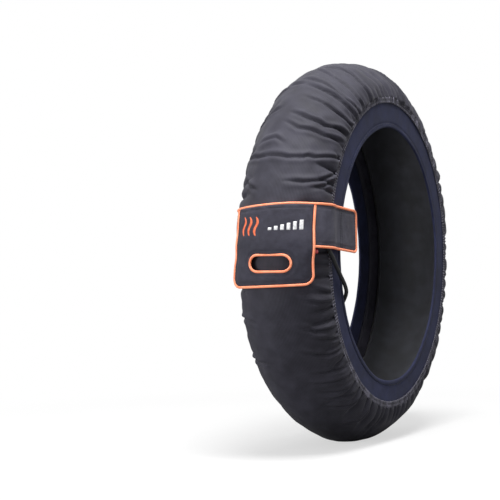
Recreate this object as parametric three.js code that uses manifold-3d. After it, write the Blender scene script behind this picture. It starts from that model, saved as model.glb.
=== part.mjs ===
// Motorcycle tyre warmer for a 17 inch front wheel, in millimetres.
// Origin at the wheel centre, axle along Y, +Z up. The near side panel faces -Y and the
// closure strap with its pull flap lies on the front, at -X.
import * as THREE from "three";
import { mergeVertices } from "three/addons/utils/BufferGeometryUtils.js";
import Module from "manifold-3d";

const wasm = await Module();
wasm.setup();

// Ring: the tyre that it fits and the layers wrapped round it
const crownRadius = 312;
const halfWidth = 73;
const coverRimRadius = 249.3;
const crownFullness = 1.88;
const crownWall = 2.8;
const shoulderWall = 7.2;
const rimWall = 3.3;
const insulationThickness = 5;
const insulationEdgeThickness = 3;
const elementThickness = 0.8;
const elementWidth = 4;
const elementGap = 0.9;
const liningThickness = 1.2;
const seatGap = 0.3;
const looseGap = 0.4;
const restDepth = 3;

// Gathers that the elastic draws into the cover beside each side panel
const coverSteps = 144;
const gatherDepth = 5.4;
const ridgeHeight = 0.3;
const crownRipple = 0.7;

// Side panels of neoprene with a rolled inner hem, and the gathered hem that sews them on
const openingRadius = 206.4;
const panelThickness = 3;
const rolledHemWidth = 8;
const rolledHemRise = 0.9;
const hemInnerRadius = 246;
const hemOuterRadius = 252.5;
const hemThickness = 2.3;
const hemSteps = 72;
const hemRuffle = 0.7;

// Closure strap: crosses the crown and overhangs the near panel's inner edge
const strapHalfWidth = 31.7;
const strapThickness = 2.4;
const strapTail = 43;
const strapFarInset = 9.5;
const strapPeakHeight = 44.6;
const strapPeakArc = -35;
const strapSlope = 0.088;
const strapBend = 25;
const strapCrownLift = 0.8;
const strapBootLift = 11;
const strapPanelLift = 4.2;
const strapFarRise = { beforeRim: 55, length: 30, height: 0.6 };
const strapBootRise = { beforeRim: 61.5, length: 32 };
const strapPanelDrop = { beforeRim: 10.5, length: 19 };
const strapStraightening = { beforeRim: 30.5, length: 37 };
const strapCorner = 8;
const pipingRadius = 1.9;
const pipingSides = 6;

// Pull flap: sewn under the strap's top piping, with a slot for the fingers
const flapNearArc = -66;
const flapFarArc = 59;
const flapBottomHeight = -46.7;
const flapBottomSlope = -0.038;
const flapThickness = 2.4;
const flapCorner = 15;
const flapStrapClearance = 4.7;
const flapHangLift = 3;
const slotCentreArc = -6.1;
const slotCentreHeight = -12.5;
const slotLength = 60.8;
const slotHeight = 24.9;
const slotCutDepth = 14;

// Hook-and-loop closure between strap and near panel
const hookLength = 22;
const hookHalfHeight = 24;
const loopThickness = 2;

// Thermostat in its pocket in the insulation
const thermostatLength = 24;
const thermostatWidth = 14;
const thermostatHeight = 3.6;

// Indicator lamp just under the strap
const lampArc = -74;
const lampHeight = 4.1;
const lampWidth = 9;
const lampTall = 8.6;
const bezelBase = 0.8;
const bezelThickness = 2.2;
const lensMargin = 1.2;
const lensThickness = 2.2;

// Supply cord
const cordDiameter = 6.2;
const cordSides = 8;
const bootStart = [-270.5, -72.8, 27];
const bootTip = [-258.9, -76.8, 5.9];
const bootBaseRadius = 4.6;
const bootTipRadius = 3.7;
const coilCentreX = 175;
const coilCentreY = 80;
const coilMeanDiameters = 11;
const coilTurnsAcross = 3;
const coilLayers = 2;
const tieWidth = 12;
const tieThickness = 1.2;

// Mains plug
const plugRadius = 18.5;
const plugFaceX = 276;
const plugBodyLength = 40;
const plugGripLength = 18;
const plugNeckRadius = 8;
const plugReliefLength = 24;
const pinRadius = 2.4;
const pinLength = 19;
const pinSpacing = 19;

// Worked out from the driving sizes
const floorHeight = -crownRadius + restDepth;
const crownRise = crownRadius - coverRimRadius;
const panelFace = halfWidth - seatGap;
const panelOuterRadius = coverRimRadius - seatGap;
const cordRadius = cordDiameter / 2;
const layerSteps = 36;
const panelSteps = 48;
const layerRows = [-66, -48, -25, 0, 25, 48, 66];
const cavityRows = [-90, -80, ...layerRows, 80, 90];
const coverRows = [-90, -83, -74, -64, -50, -32, -14, 0, 14, 32, 50, 64, 74, 83, 90];
const degree = Math.PI / 180;

const colours = {
  nylon: 0x3a3b44,
  neoprene: 0x35384f,
  strapCloth: 0x2a2b31,
  piping: 0xf08050,
  felt: 0x8c8a84,
  element: 0xb08a3c,
  lining: 0x1f2024,
  lens: 0xd01828,
  rubber: 0x17181b,
  metal: 0xc8c9cc,
};

const materials = {
  nylon: cloth(colours.nylon, 0.85),
  neoprene: cloth(colours.neoprene, 0.9),
  strapCloth: cloth(colours.strapCloth, 0.8),
  piping: cloth(colours.piping, 0.55),
  felt: cloth(colours.felt, 0.95),
  element: new THREE.MeshStandardMaterial({ color: colours.element, roughness: 0.4, metalness: 0.8 }),
  lining: cloth(colours.lining, 0.9),
  lens: cloth(colours.lens, 0.3),
  rubber: cloth(colours.rubber, 0.6),
  metal: new THREE.MeshStandardMaterial({ color: colours.metal, roughness: 0.25, metalness: 1 }),
};

const warmer = new THREE.Group();

function cloth(color, roughness) {
  return new THREE.MeshStandardMaterial({ color, roughness, metalness: 0 });
}

function addPiece(name, geometry, material) {
  const mesh = new THREE.Mesh(geometry, material);
  mesh.name = name;
  warmer.add(mesh);
  return mesh;
}

function smooth(from, to, value) {
  const t = Math.min(Math.max((value - from) / (to - from), 0), 1);
  return t * t * (3 - 2 * t);
}

function mix(a, b, t) {
  return a + (b - a) * t;
}

// A repeatable scatter between 0 and 1 for the unevenness of sewn cloth
function scatter(index) {
  const wave = Math.sin(index * 12.9898 + 4.137) * 43758.5453;
  return wave - Math.floor(wave);
}

// Cross-section of the ring. The angle runs from -90 degrees at the near rim over the
// crown to +90 degrees at the far rim, and the offset is measured outward.
function section(angle, offset = 0) {
  const side = Math.sign(angle) || 1;
  const across = Math.pow(Math.abs(Math.sin(angle * degree)), 2 / crownFullness);
  const rise = Math.pow(Math.max(Math.cos(angle * degree), 0), 2 / crownFullness);
  const normal = new THREE.Vector2(
    Math.pow(rise, crownFullness - 1) / crownRise,
    (side * Math.pow(across, crownFullness - 1)) / halfWidth,
  ).normalize();
  return {
    radius: coverRimRadius + crownRise * rise + normal.x * offset,
    y: side * halfWidth * across + normal.y * offset,
    normal,
  };
}

function wallAt(angle) {
  const size = Math.abs(angle);
  const gathered = mix(crownWall, shoulderWall, smooth(28, 66, size));
  return mix(gathered, rimWall, smooth(76, 90, size));
}

function pointOnRing(turn, radius, y) {
  return new THREE.Vector3(-radius * Math.cos(turn), y, radius * Math.sin(turn));
}

// The foot of the ring is pressed flat where it stands.
function pressed(point, height) {
  point.z = Math.max(point.z, height);
  return point;
}

function geometryFrom(points, triangles) {
  const geometry = new THREE.BufferGeometry().setFromPoints(points);
  geometry.setIndex(triangles);
  geometry.computeVertexNormals();
  return geometry;
}

// A closed ring: the section's points in order, carried round in equal steps
function ringGeometry(steps, count, at) {
  const points = [];
  const triangles = [];
  for (let i = 0; i < steps; i++) {
    for (let j = 0; j < count; j++) points.push(at(i, j));
  }
  for (let i = 0; i < steps; i++) {
    for (let j = 0; j < count; j++) {
      const next = (i + 1) % steps;
      const beside = (j + 1) % count;
      const a = i * count + j;
      const b = next * count + j;
      const c = next * count + beside;
      const d = i * count + beside;
      triangles.push(a, b, c, a, c, d);
    }
  }
  return geometryFrom(points, triangles);
}

function profileRing(steps, profile, footHeight = -Infinity) {
  return ringGeometry(steps, profile.length, (i, j) => {
    const [radius, y] = profile[j];
    return pressed(pointOnRing((2 * Math.PI * i) / steps, radius, y), footHeight);
  });
}

function solidFrom(geometry) {
  const plain = geometry.clone();
  for (const name of Object.keys(plain.attributes)) {
    if (name !== "position") plain.deleteAttribute(name);
  }
  const merged = mergeVertices(plain, 1e-3);
  return new wasm.Manifold(
    new wasm.Mesh({
      numProp: 3,
      vertProperties: merged.attributes.position.array,
      triVerts: new Uint32Array(merged.index.array),
    }),
  );
}

function geometryOf(solid) {
  const mesh = solid.getMesh();
  const geometry = new THREE.BufferGeometry();
  geometry.setAttribute("position", new THREE.BufferAttribute(mesh.vertProperties, 3));
  geometry.setIndex(new THREE.BufferAttribute(mesh.triVerts, 1));
  geometry.computeVertexNormals();
  return geometry;
}

function cut(geometry, ...tools) {
  let solid = solidFrom(geometry);
  for (const tool of tools) solid = solid.subtract(solidFrom(tool));
  return geometryOf(solid);
}

// Outer cover of ribbed nylon: every second step round it is the bottom of a gather
function foldAt(step, angle) {
  const size = Math.abs(angle);
  const turn = (2 * Math.PI * step) / coverSteps;
  const ripple = Math.sin(7 * turn + 0.6) + 0.6 * Math.sin(12 * turn + angle * degree);
  const body = ridgeHeight - (crownRipple * (1.6 + ripple)) / 2;
  const valley = step % 2 === 1;
  if (!valley) return mix(body, ridgeHeight, smooth(40, 70, size));
  const side = Math.sign(angle) * 31;
  const depth = gatherDepth * (0.45 + 0.55 * scatter(step + side));
  const reach = 26 + 24 * scatter(3 * step + side);
  const drawn = smooth(reach, 70, size) * (1 - 0.75 * smooth(74, 90, size));
  return mix(body, ridgeHeight, smooth(40, 70, size)) - depth * drawn;
}

function outerCover() {
  const outside = ringGeometry(coverSteps, coverRows.length, (i, j) => {
    const angle = coverRows[j];
    const at = section(angle, foldAt(i, angle));
    const radius = Math.abs(angle) === 90 ? coverRimRadius : at.radius;
    return pressed(pointOnRing((2 * Math.PI * i) / coverSteps, radius, at.y), floorHeight);
  });
  const cavity = cavityRows.map((angle) => {
    const at = section(angle, -wallAt(angle));
    return [at.radius, at.y];
  });
  const mouth = halfWidth - rimWall;
  const mouthRadius = coverRimRadius - 12;
  cavity.unshift([mouthRadius, -mouth]);
  cavity.push([mouthRadius, mouth]);
  return cut(outside, profileRing(layerSteps, cavity, floorHeight + crownWall));
}

// Layers inside the cover, each given by its depth below the cover's outer surface
function feltTop(angle) {
  return wallAt(angle) + looseGap;
}

function feltBottom(angle) {
  const thick = mix(insulationThickness, insulationEdgeThickness, smooth(30, 66, Math.abs(angle)));
  return feltTop(angle) + thick;
}

function elementTop(angle) {
  return feltBottom(angle) + elementGap;
}

function liningTop(angle) {
  return elementTop(angle) + elementThickness + looseGap;
}

function layerProfile(top, bottom) {
  const row = (angle, depth) => {
    const at = section(angle, -depth);
    return [at.radius, at.y];
  };
  const outer = layerRows.map((angle) => row(angle, top(angle)));
  const inner = layerRows.map((angle) => row(angle, bottom(angle))).reverse();
  return [...outer, ...inner];
}

function insulationLayer() {
  const foot = floorHeight + crownWall + looseGap;
  const layer = profileRing(layerSteps, layerProfile(feltTop, feltBottom), foot);
  const pocket = new THREE.BoxGeometry(
    thermostatLength + 2 * looseGap,
    thermostatWidth + 2 * looseGap,
    4 * insulationThickness,
  );
  return cut(layer, atThermostat(pocket));
}

function innerLining() {
  return profileRing(layerSteps, layerProfile(liningTop, (a) => liningTop(a) + liningThickness));
}

// The thermostat lies in the middle of one flat of the insulation, at the front.
function atThermostat(geometry) {
  const depth = (feltTop(0) + feltBottom(0)) / 2;
  const a = section(0, -depth);
  const b = section(25, -depth);
  const turn = (Math.PI / layerSteps) * 1;
  const radius = ((a.radius + b.radius) / 2) * Math.cos(Math.PI / layerSteps);
  const tilt = Math.atan2(a.radius - b.radius, b.y - a.y);
  geometry.rotateZ(Math.PI / 2);
  geometry.rotateX(-tilt);
  geometry.translate(0, (a.y + b.y) / 2, radius);
  geometry.rotateY(turn - Math.PI / 2);
  return geometry;
}

// Heating element: one flat ribbon that runs to and fro across the crown, all round
function heatingElement() {
  const rows = [-48, -25, 0, 25, 48];
  const turnStep = (2 * Math.PI) / layerSteps;
  const points = [];
  const normals = [];
  const depth = (angle) => elementTop(angle) + elementThickness / 2;
  const add = (step, angle) => {
    const turn = step * turnStep;
    const at = section(angle, -depth(angle));
    points.push(pointOnRing(turn, at.radius, at.y));
    normals.push(pointOnRing(turn, at.normal.x, at.normal.y));
  };
  const passes = layerSteps / 2;
  for (let pass = 0; pass < passes; pass++) {
    const step = 2 * pass + 1;
    const order = pass % 2 === 0 ? rows : [...rows].reverse();
    for (const angle of order) add(step, angle);
    if (pass < passes - 1) add(step + 1, order[order.length - 1]);
  }
  const across = elementWidth / 2;
  const up = elementThickness / 2;
  const outline = [
    [up, -across],
    [up, across],
    [-up, across],
    [-up, -across],
  ];
  return sweep(points, normals, outline, false);
}

// Carries a flat outline (along the normal, across the path) through a list of points
function sweep(points, normals, outline, closed) {
  const count = points.length;
  const rings = [];
  const triangles = [];
  for (let i = 0; i < count; i++) {
    const before = points[closed ? (i + count - 1) % count : Math.max(i - 1, 0)];
    const after = points[closed ? (i + 1) % count : Math.min(i + 1, count - 1)];
    const along = after.clone().sub(before).normalize();
    const normal = normals[i].clone().addScaledVector(along, -normals[i].dot(along)).normalize();
    const across = along.clone().cross(normal);
    for (const [up, side] of outline) {
      rings.push(points[i].clone().addScaledVector(normal, up).addScaledVector(across, side));
    }
  }
  const sides = outline.length;
  const spans = closed ? count : count - 1;
  for (let i = 0; i < spans; i++) {
    const next = (i + 1) % count;
    for (let j = 0; j < sides; j++) {
      const beside = (j + 1) % sides;
      const a = i * sides + j;
      const b = next * sides + j;
      const c = next * sides + beside;
      const d = i * sides + beside;
      triangles.push(a, c, b, a, d, c);
    }
  }
  if (!closed) {
    const last = (count - 1) * sides;
    for (let j = 1; j < sides - 1; j++) {
      triangles.push(0, j + 1, j);
      triangles.push(last, last + j, last + j + 1);
    }
  }
  return facingOut(geometryFrom(rings, triangles));
}

function facingOut(geometry) {
  const at = geometry.attributes.position;
  const index = geometry.index.array;
  const a = new THREE.Vector3();
  const b = new THREE.Vector3();
  const c = new THREE.Vector3();
  let volume = 0;
  for (let i = 0; i < index.length; i += 3) {
    a.fromBufferAttribute(at, index[i]);
    b.fromBufferAttribute(at, index[i + 1]);
    c.fromBufferAttribute(at, index[i + 2]);
    volume += a.dot(b.cross(c));
  }
  if (volume < 0) {
    for (let i = 0; i < index.length; i += 3) {
      const keep = index[i];
      index[i] = index[i + 1];
      index[i + 1] = keep;
    }
  }
  geometry.computeVertexNormals();
  return geometry;
}

// Side panel: flat neoprene ring whose inner edge is rolled over and stitched
function sidePanel(side) {
  const outer = panelFace;
  const inner = panelFace - panelThickness;
  const proud = outer + rolledHemRise;
  const fold = openingRadius + rolledHemWidth;
  const profile = [
    [openingRadius, outer - 0.2],
    [openingRadius + 1, proud],
    [fold - 1, proud],
    [fold, outer],
    [panelOuterRadius, outer],
    [panelOuterRadius, inner],
    [openingRadius + 1, inner],
    [openingRadius, inner + 0.8],
  ];
  return facingOut(profileRing(panelSteps, profile.map(([r, y]) => [r, side * y])));
}

// Gathered hem: the ruffled fold of cover cloth that is sewn down over the joint
function gatheredHem(side) {
  const base = halfWidth + seatGap;
  const ruffled = ringGeometry(hemSteps, 4, (i, j) => {
    const swell = i % 2 === 0 ? 1 : 1 - (0.5 + 0.5 * scatter(i + 7 * side)) * (hemRuffle / hemThickness);
    const top = base + hemThickness * swell;
    const profile = [
      [hemInnerRadius, base],
      [hemInnerRadius + 0.6, top],
      [hemOuterRadius - 0.8, top],
      [hemOuterRadius, base],
    ];
    const [radius, y] = profile[j];
    return pointOnRing((2 * Math.PI * i) / hemSteps, radius, side * y);
  });
  return facingOut(ruffled);
}

// Positions on the front of the ring are given by the arc length from the crown, near
// side negative, by the height above the axle and by the lift off the cover.
const arcTable = makeArcTable();

function makeArcTable() {
  const table = [{ arc: 0, angle: 0 }];
  const count = 240;
  let last = section(0);
  for (let i = 1; i <= count; i++) {
    const angle = (90 * i) / count;
    const at = section(angle);
    const arc = table[i - 1].arc + Math.hypot(at.radius - last.radius, at.y - last.y);
    table.push({ arc, angle });
    last = at;
  }
  return table;
}

function rimArc() {
  return arcTable[arcTable.length - 1].arc;
}

function angleAtArc(arc) {
  const size = Math.abs(arc);
  const index = arcTable.findIndex((entry) => entry.arc >= size);
  const high = arcTable[index];
  const low = arcTable[Math.max(index - 1, 0)];
  const share = high.arc > low.arc ? (size - low.arc) / (high.arc - low.arc) : 0;
  return Math.sign(arc) * mix(low.angle, high.angle, share);
}

function strapHeight(arc) {
  const along = arc - strapPeakArc;
  return strapPeakHeight - strapSlope * (Math.hypot(along, strapBend) - strapBend);
}

// Eases from 0 to 1 along a stretch that starts a distance before the rim
function pastStretch(stretch, arc) {
  const start = rimArc() - stretch.beforeRim;
  return smooth(start, start + stretch.length, Math.abs(arc));
}

function onFront(arc, height, lift) {
  const past = Math.max(Math.abs(arc) - rimArc(), 0);
  const at = section(past > 0 ? Math.sign(arc) * 90 : angleAtArc(arc), lift);
  const radius = at.radius - past;
  const straight = pastStretch(strapStraightening, arc);
  const middle = strapHeight(arc);
  const round = Math.sqrt(Math.max(radius * radius - height * height, 0));
  const flat = Math.sqrt(Math.max(radius * radius - middle * middle, 0));
  return new THREE.Vector3(-mix(round, flat, straight), at.y, height);
}

// A thin piece laid on the front of the ring: columns along the arc, each with its own
// lowest and highest height, between an inner and an outer lift
function laidSheet(columns, bandCount, bounds, innerLift, outerLift) {
  const rows = bandCount + 1;
  const points = [];
  const triangles = [];
  const layer = columns.length * rows;
  for (const liftAt of [innerLift, outerLift]) {
    for (const arc of columns) {
      const [low, high] = bounds(arc);
      for (let j = 0; j < rows; j++) {
        const height = mix(low, high, j / bandCount);
        points.push(onFront(arc, height, liftAt(arc, height)));
      }
    }
  }
  const quad = (a, b, c, d) => triangles.push(a, b, c, a, c, d);
  for (let i = 0; i < columns.length - 1; i++) {
    for (let j = 0; j < bandCount; j++) {
      const a = i * rows + j;
      quad(a, a + 1, a + rows + 1, a + rows);
      quad(layer + a, layer + a + rows, layer + a + rows + 1, layer + a + 1);
    }
    const low = i * rows;
    const high = low + bandCount;
    quad(low, low + rows, layer + low + rows, layer + low);
    quad(high, layer + high, layer + high + rows, high + rows);
  }
  const end = (columns.length - 1) * rows;
  for (let j = 0; j < bandCount; j++) {
    quad(j, layer + j, layer + j + 1, j + 1);
    quad(end + j, end + j + 1, layer + end + j + 1, layer + end + j);
  }
  return facingOut(geometryFrom(points, triangles));
}

function evenly(from, to, count) {
  return Array.from({ length: count + 1 }, (_, i) => mix(from, to, i / count));
}

// How far a rounded corner of a given radius draws an edge in, at a distance from the end
function cornerInset(distance, radius) {
  const short = Math.max(radius - distance, 0);
  return radius - Math.sqrt(Math.max(radius * radius - short * short, 0));
}

// Closure strap
const strapNearArc = -(rimArc() + coverRimRadius - openingRadius + strapTail);
const strapFarArc = rimArc() - strapFarInset;

function strapLift(arc) {
  if (arc > 0) return strapCrownLift + strapFarRise.height * pastStretch(strapFarRise, arc);
  const raised = mix(strapCrownLift, strapBootLift, pastStretch(strapBootRise, arc));
  return mix(raised, strapPanelLift, pastStretch(strapPanelDrop, arc));
}

const pipingReach = pipingRadius + looseGap;

function strapBounds(arc) {
  const edge = strapHalfWidth - pipingReach;
  const inset = cornerInset(arc - (strapNearArc + pipingReach), strapCorner);
  return [strapHeight(arc) - edge + inset, strapHeight(arc) + edge - inset];
}

function closureStrap() {
  const start = strapNearArc + pipingReach;
  const corner = [0, 0.6, 1.8, 3.6, strapCorner - pipingReach].map((d) => start + d);
  const columns = [...corner, ...evenly(start + strapCorner + 4, strapFarArc, 29)];
  const inner = (arc) => strapLift(arc);
  const outer = (arc) => strapLift(arc) + strapThickness;
  return laidSheet(columns, 3, strapBounds, inner, outer);
}

// Round piping: a cord in a folded tape, flush with the back of the sheet that it edges
function piping(route, liftAt, closed) {
  const points = route.map(([arc, height]) => onFront(arc, height, liftAt(arc, height) + pipingRadius));
  const normals = route.map(([arc, height], i) => {
    const lift = liftAt(arc, height) + pipingRadius;
    return onFront(arc, height, lift + 1).sub(points[i]).normalize();
  });
  const outline = Array.from({ length: pipingSides }, (_, i) => {
    const angle = (2 * Math.PI * i) / pipingSides;
    return [pipingRadius * Math.cos(angle), pipingRadius * Math.sin(angle)];
  });
  return sweep(points, normals, outline, closed);
}

function arcPoints(centreArc, centreHeight, radius, from, to, count) {
  return evenly(from, to, count).map((angle) => [
    centreArc + radius * Math.cos(angle * degree),
    centreHeight + radius * Math.sin(angle * degree),
  ]);
}

function strapPipingRoute() {
  const edge = (arc, side) => [arc, strapHeight(arc) + side * strapHalfWidth];
  const turnArc = strapNearArc + strapCorner;
  const long = evenly(strapFarArc, turnArc + 4, 27);
  const top = strapHeight(strapNearArc) + strapHalfWidth - strapCorner;
  const bottom = strapHeight(strapNearArc) - strapHalfWidth + strapCorner;
  return [
    ...long.map((arc) => edge(arc, 1)),
    ...arcPoints(turnArc, top, strapCorner, 90, 180, 4),
    [strapNearArc, (top + bottom) / 2],
    ...arcPoints(turnArc, bottom, strapCorner, 180, 270, 4),
    ...long.map((arc) => edge(arc, -1)).reverse(),
  ];
}

// Pull flap
function flapTop(arc) {
  return strapHeight(arc) + strapHalfWidth - pipingReach;
}

function flapBottom(arc) {
  return flapBottomHeight + flapBottomSlope * arc;
}

function flapLift(arc, height) {
  const strapEdge = strapHeight(arc) - strapHalfWidth;
  const onStrap = strapLift(arc) + strapThickness + seatGap;
  const overEdge = strapLift(arc) + flapStrapClearance;
  const above = mix(overEdge, onStrap, smooth(strapEdge + 6, strapEdge + 30, height));
  return mix(flapHangLift, above, smooth(strapEdge - 22, strapEdge - 3, height));
}

function flapBounds(arc) {
  const edge = Math.min(arc - flapNearArc, flapFarArc - arc) - pipingReach;
  const inset = cornerInset(edge, flapCorner - pipingReach);
  return [flapBottom(arc) + pipingReach + inset, flapTop(arc)];
}

function slotRoute(radius, count) {
  const reach = slotLength / 2 - slotHeight / 2;
  return [
    ...arcPoints(slotCentreArc + reach, slotCentreHeight, radius, -90, 90, count),
    ...arcPoints(slotCentreArc - reach, slotCentreHeight, radius, 90, 270, count),
  ];
}

function pullFlap() {
  const near = flapNearArc + pipingReach;
  const far = flapFarArc - pipingReach;
  const corner = [0, 1, 3, 7, flapCorner - pipingReach];
  const columns = [
    ...corner.map((d) => near + d),
    ...evenly(near + flapCorner + 7, far - flapCorner - 7, 8),
    ...corner.map((d) => far - d).reverse(),
  ];
  const inner = (arc, height) => flapLift(arc, height);
  const outer = (arc, height) => flapLift(arc, height) + flapThickness;
  const sheet = laidSheet(columns, 8, flapBounds, inner, outer);
  const rim = slotRoute(slotHeight / 2 + pipingReach, 6);
  const slot = [-slotCutDepth, flapThickness + slotCutDepth];
  const cutter = sweepPrism(rim, (arc, height, i) => flapLift(arc, height) + slot[i]);
  return cut(sheet, cutter);
}

// A prism through the sheet, with the same outline on its inner and outer end
function sweepPrism(outline, liftAt) {
  const count = outline.length;
  const points = [];
  const triangles = [];
  for (const end of [0, 1]) {
    for (const [arc, height] of outline) points.push(onFront(arc, height, liftAt(arc, height, end)));
  }
  for (let i = 0; i < count; i++) {
    const next = (i + 1) % count;
    triangles.push(i, next, count + next, i, count + next, count + i);
  }
  for (let i = 1; i < count - 1; i++) {
    triangles.push(0, i + 1, i);
    triangles.push(count, count + i, count + i + 1);
  }
  return facingOut(geometryFrom(points, triangles));
}

function flapPipingRoute() {
  const turn = flapCorner;
  const side = (arc, from, to) => evenly(from, to, 9).map((height) => [arc, height]);
  const nearLow = flapBottom(flapNearArc + turn) + turn;
  const farLow = flapBottom(flapFarArc - turn) + turn;
  const bottom = evenly(flapNearArc + turn + 8, flapFarArc - turn - 8, 8);
  return [
    ...side(flapNearArc, flapTop(flapNearArc) - seatGap, nearLow + 5),
    ...arcPoints(flapNearArc + turn, nearLow, turn, 180, 270, 5),
    ...bottom.map((arc) => [arc, flapBottom(arc)]),
    ...arcPoints(flapFarArc - turn, farLow, turn, 270, 360, 5),
    ...side(flapFarArc, farLow + 5, flapTop(flapFarArc) - seatGap),
  ];
}

// A block laid on the front of the ring, given by its middle, its size and its two lifts
function laidBlock(arc, height, width, tall, from, to) {
  const columns = evenly(arc - width / 2, arc + width / 2, 2);
  const bounds = () => [height - tall / 2, height + tall / 2];
  return laidSheet(columns, 2, bounds, () => from, () => to);
}

// Hook-and-loop pads between the strap and the near panel
function closurePad(from, to) {
  const first = rimArc() + coverRimRadius - openingRadius - rolledHemWidth - 4;
  const columns = evenly(-first, -first + hookLength, 3);
  const bounds = (arc) => [strapHeight(arc) - hookHalfHeight, strapHeight(arc) + hookHalfHeight];
  return laidSheet(columns, 2, bounds, () => from, () => to);
}

// A round piece between two points, wider at its start
function taperedBar(from, to, startRadius, endRadius, sides) {
  const start = new THREE.Vector3(...from);
  const end = new THREE.Vector3(...to);
  const length = start.distanceTo(end);
  const bar = new THREE.CylinderGeometry(endRadius, startRadius, length, sides);
  const turn = new THREE.Quaternion();
  turn.setFromUnitVectors(new THREE.Vector3(0, 1, 0), end.clone().sub(start).normalize());
  bar.applyQuaternion(turn);
  bar.translate(...start.add(end).multiplyScalar(0.5).toArray());
  return bar;
}

// Supply cord: over the near panel's edge, slack inside the ring, over the far panel's
// edge and down to the floor, where the rest of it is coiled
const cordFloor = floorHeight + cordRadius + 0.2;
const coilMeanRadius = (coilMeanDiameters * cordDiameter) / 2;
const coilOuterTurn = coilMeanRadius + ((coilTurnsAcross - 1) / 2) * cordDiameter;
const coilWidth = coilTurnsAcross * cordDiameter;
const coilHeight = coilLayers * cordDiameter + 0.4;
const coilSideY = coilCentreY + coilOuterTurn;
const coilTopHeight = cordFloor + (coilLayers - 1) * cordDiameter;
const cordRoute = [
  [-258.5, -77, 5.2],
  [-250.4, -79.3, -5.2],
  [-240.1, -79.3, -16.1],
  [-222, -79.4, -33.5],
  [-206.5, -79.3, -48],
  [-196, -77, -58.5],
  [-187, -69.5, -70],
  [-179.5, -57.5, -84],
  [-171, -42, -103],
  [-160, -25, -127],
  [-143, -6, -155],
  [-119, 13, -184],
  [-89, 29, -206],
  [-56, 41, -218],
  [-23, 50, -217],
  [8, 59.5, -206.5],
  [36, 72, -199],
  [61, 85, -202],
  [81, 96, -218],
  [95, 104, -242],
  [106, 110, -268],
  [118, 115, -290],
  [134, 119, -303],
  [coilCentreX - 23.5, coilSideY, cordFloor],
];
const plugAxisHeight = floorHeight + plugRadius + 0.1;
const plugTailX = plugFaceX - plugBodyLength - plugReliefLength;
const leadRoute = [
  [coilCentreX + 23.5, coilSideY, coilTopHeight],
  [coilCentreX + 28, coilSideY, coilTopHeight + 3],
  [plugTailX - 5, coilSideY, plugAxisHeight],
  [plugTailX - looseGap, coilSideY, plugAxisHeight],
];

function cordTube(route, steps) {
  const path = new THREE.CatmullRomCurve3(
    route.map((point) => new THREE.Vector3(...point)),
    false,
    "centripetal",
  );
  const round = new THREE.Shape(
    Array.from({ length: cordSides }, (_, i) => {
      const angle = (2 * Math.PI * i) / cordSides;
      return new THREE.Vector2(cordRadius * Math.cos(angle), cordRadius * Math.sin(angle));
    }),
  );
  return new THREE.ExtrudeGeometry(round, { steps, extrudePath: path, bevelEnabled: false });
}

// The coil's solid is the ring that its turns fill, pinched where the tie holds it.
function tieFrame(inset, depth, width) {
  const section = (x, z, y) => new THREE.BoxGeometry(y, x, z);
  const outer = section(coilWidth + 2 * inset, coilHeight + 2 * inset, width);
  const inner = section(coilWidth - 2 * depth, coilHeight - 2 * depth, width + 2);
  const frame = cut(outer, inner);
  frame.translate(coilCentreX, coilCentreY - coilMeanRadius, floorHeight + coilHeight / 2);
  return frame;
}

function cordCoil() {
  const inner = coilMeanRadius - coilWidth / 2;
  const outer = coilMeanRadius + coilWidth / 2;
  const round = 2;
  const profile = [
    [inner, round],
    [inner + round, 0],
    [outer - round, 0],
    [outer, round],
    [outer, coilHeight - round],
    [outer - round, coilHeight],
    [inner + round, coilHeight],
    [inner, coilHeight - round],
    [inner, round],
  ];
  const ring = new THREE.LatheGeometry(
    profile.map(([r, h]) => new THREE.Vector2(r, h)),
    32,
  );
  ring.rotateX(Math.PI / 2);
  ring.translate(coilCentreX, coilCentreY, floorHeight);
  return cut(facingOut(mergeVertices(plainCopy(ring), 1e-3)), tieFrame(2, tieThickness + seatGap, tieWidth + 0.6));
}

function plainCopy(geometry) {
  const plain = geometry.clone();
  for (const name of Object.keys(plain.attributes)) {
    if (name !== "position") plain.deleteAttribute(name);
  }
  return plain;
}

// Mains plug: round moulded body lying on the floor, pins along +X
function turnedAlongX(profile, sides) {
  const turned = new THREE.LatheGeometry(
    profile.map(([x, r]) => new THREE.Vector2(r, x)),
    sides,
  );
  turned.rotateZ(-Math.PI / 2);
  turned.translate(0, coilSideY, plugAxisHeight);
  return facingOut(mergeVertices(plainCopy(turned), 1e-3));
}

function plugBody() {
  const back = plugFaceX - plugBodyLength;
  const shoulder = plugFaceX - plugGripLength;
  return turnedAlongX(
    [
      [back, 0],
      [back, plugNeckRadius],
      [back + 6, plugNeckRadius + 2],
      [shoulder - 6, plugRadius - 4],
      [shoulder, plugRadius],
      [plugFaceX - 1.5, plugRadius],
      [plugFaceX, plugRadius - 1.5],
      [plugFaceX, 0],
    ],
    20,
  );
}

function plugRelief() {
  const back = plugFaceX - plugBodyLength;
  const front = back - seatGap;
  const tail = back - plugReliefLength;
  const ribs = 4;
  const pitch = (plugReliefLength - seatGap) / (ribs + 0.5);
  const profile = [[tail, 0]];
  for (let i = 0; i <= ribs; i++) {
    const x = tail + i * pitch;
    const radius = mix(cordRadius + 1, plugNeckRadius - 1.5, i / ribs);
    profile.push([x, radius], [x + pitch / 2, radius]);
    if (i < ribs) profile.push([x + pitch / 2, radius - 0.9], [x + pitch, radius - 0.9]);
  }
  profile[profile.length - 1][0] = front;
  profile.push([front, 0]);
  return turnedAlongX(profile, 12);
}

function plugPin(side) {
  const back = plugFaceX + seatGap;
  const pin = turnedAlongX(
    [
      [back, 0],
      [back, pinRadius],
      [back + pinLength - 1.2, pinRadius],
      [back + pinLength, pinRadius - 1],
      [back + pinLength, 0],
    ],
    10,
  );
  pin.translate(0, (side * pinSpacing) / 2, 0);
  return pin;
}

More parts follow.
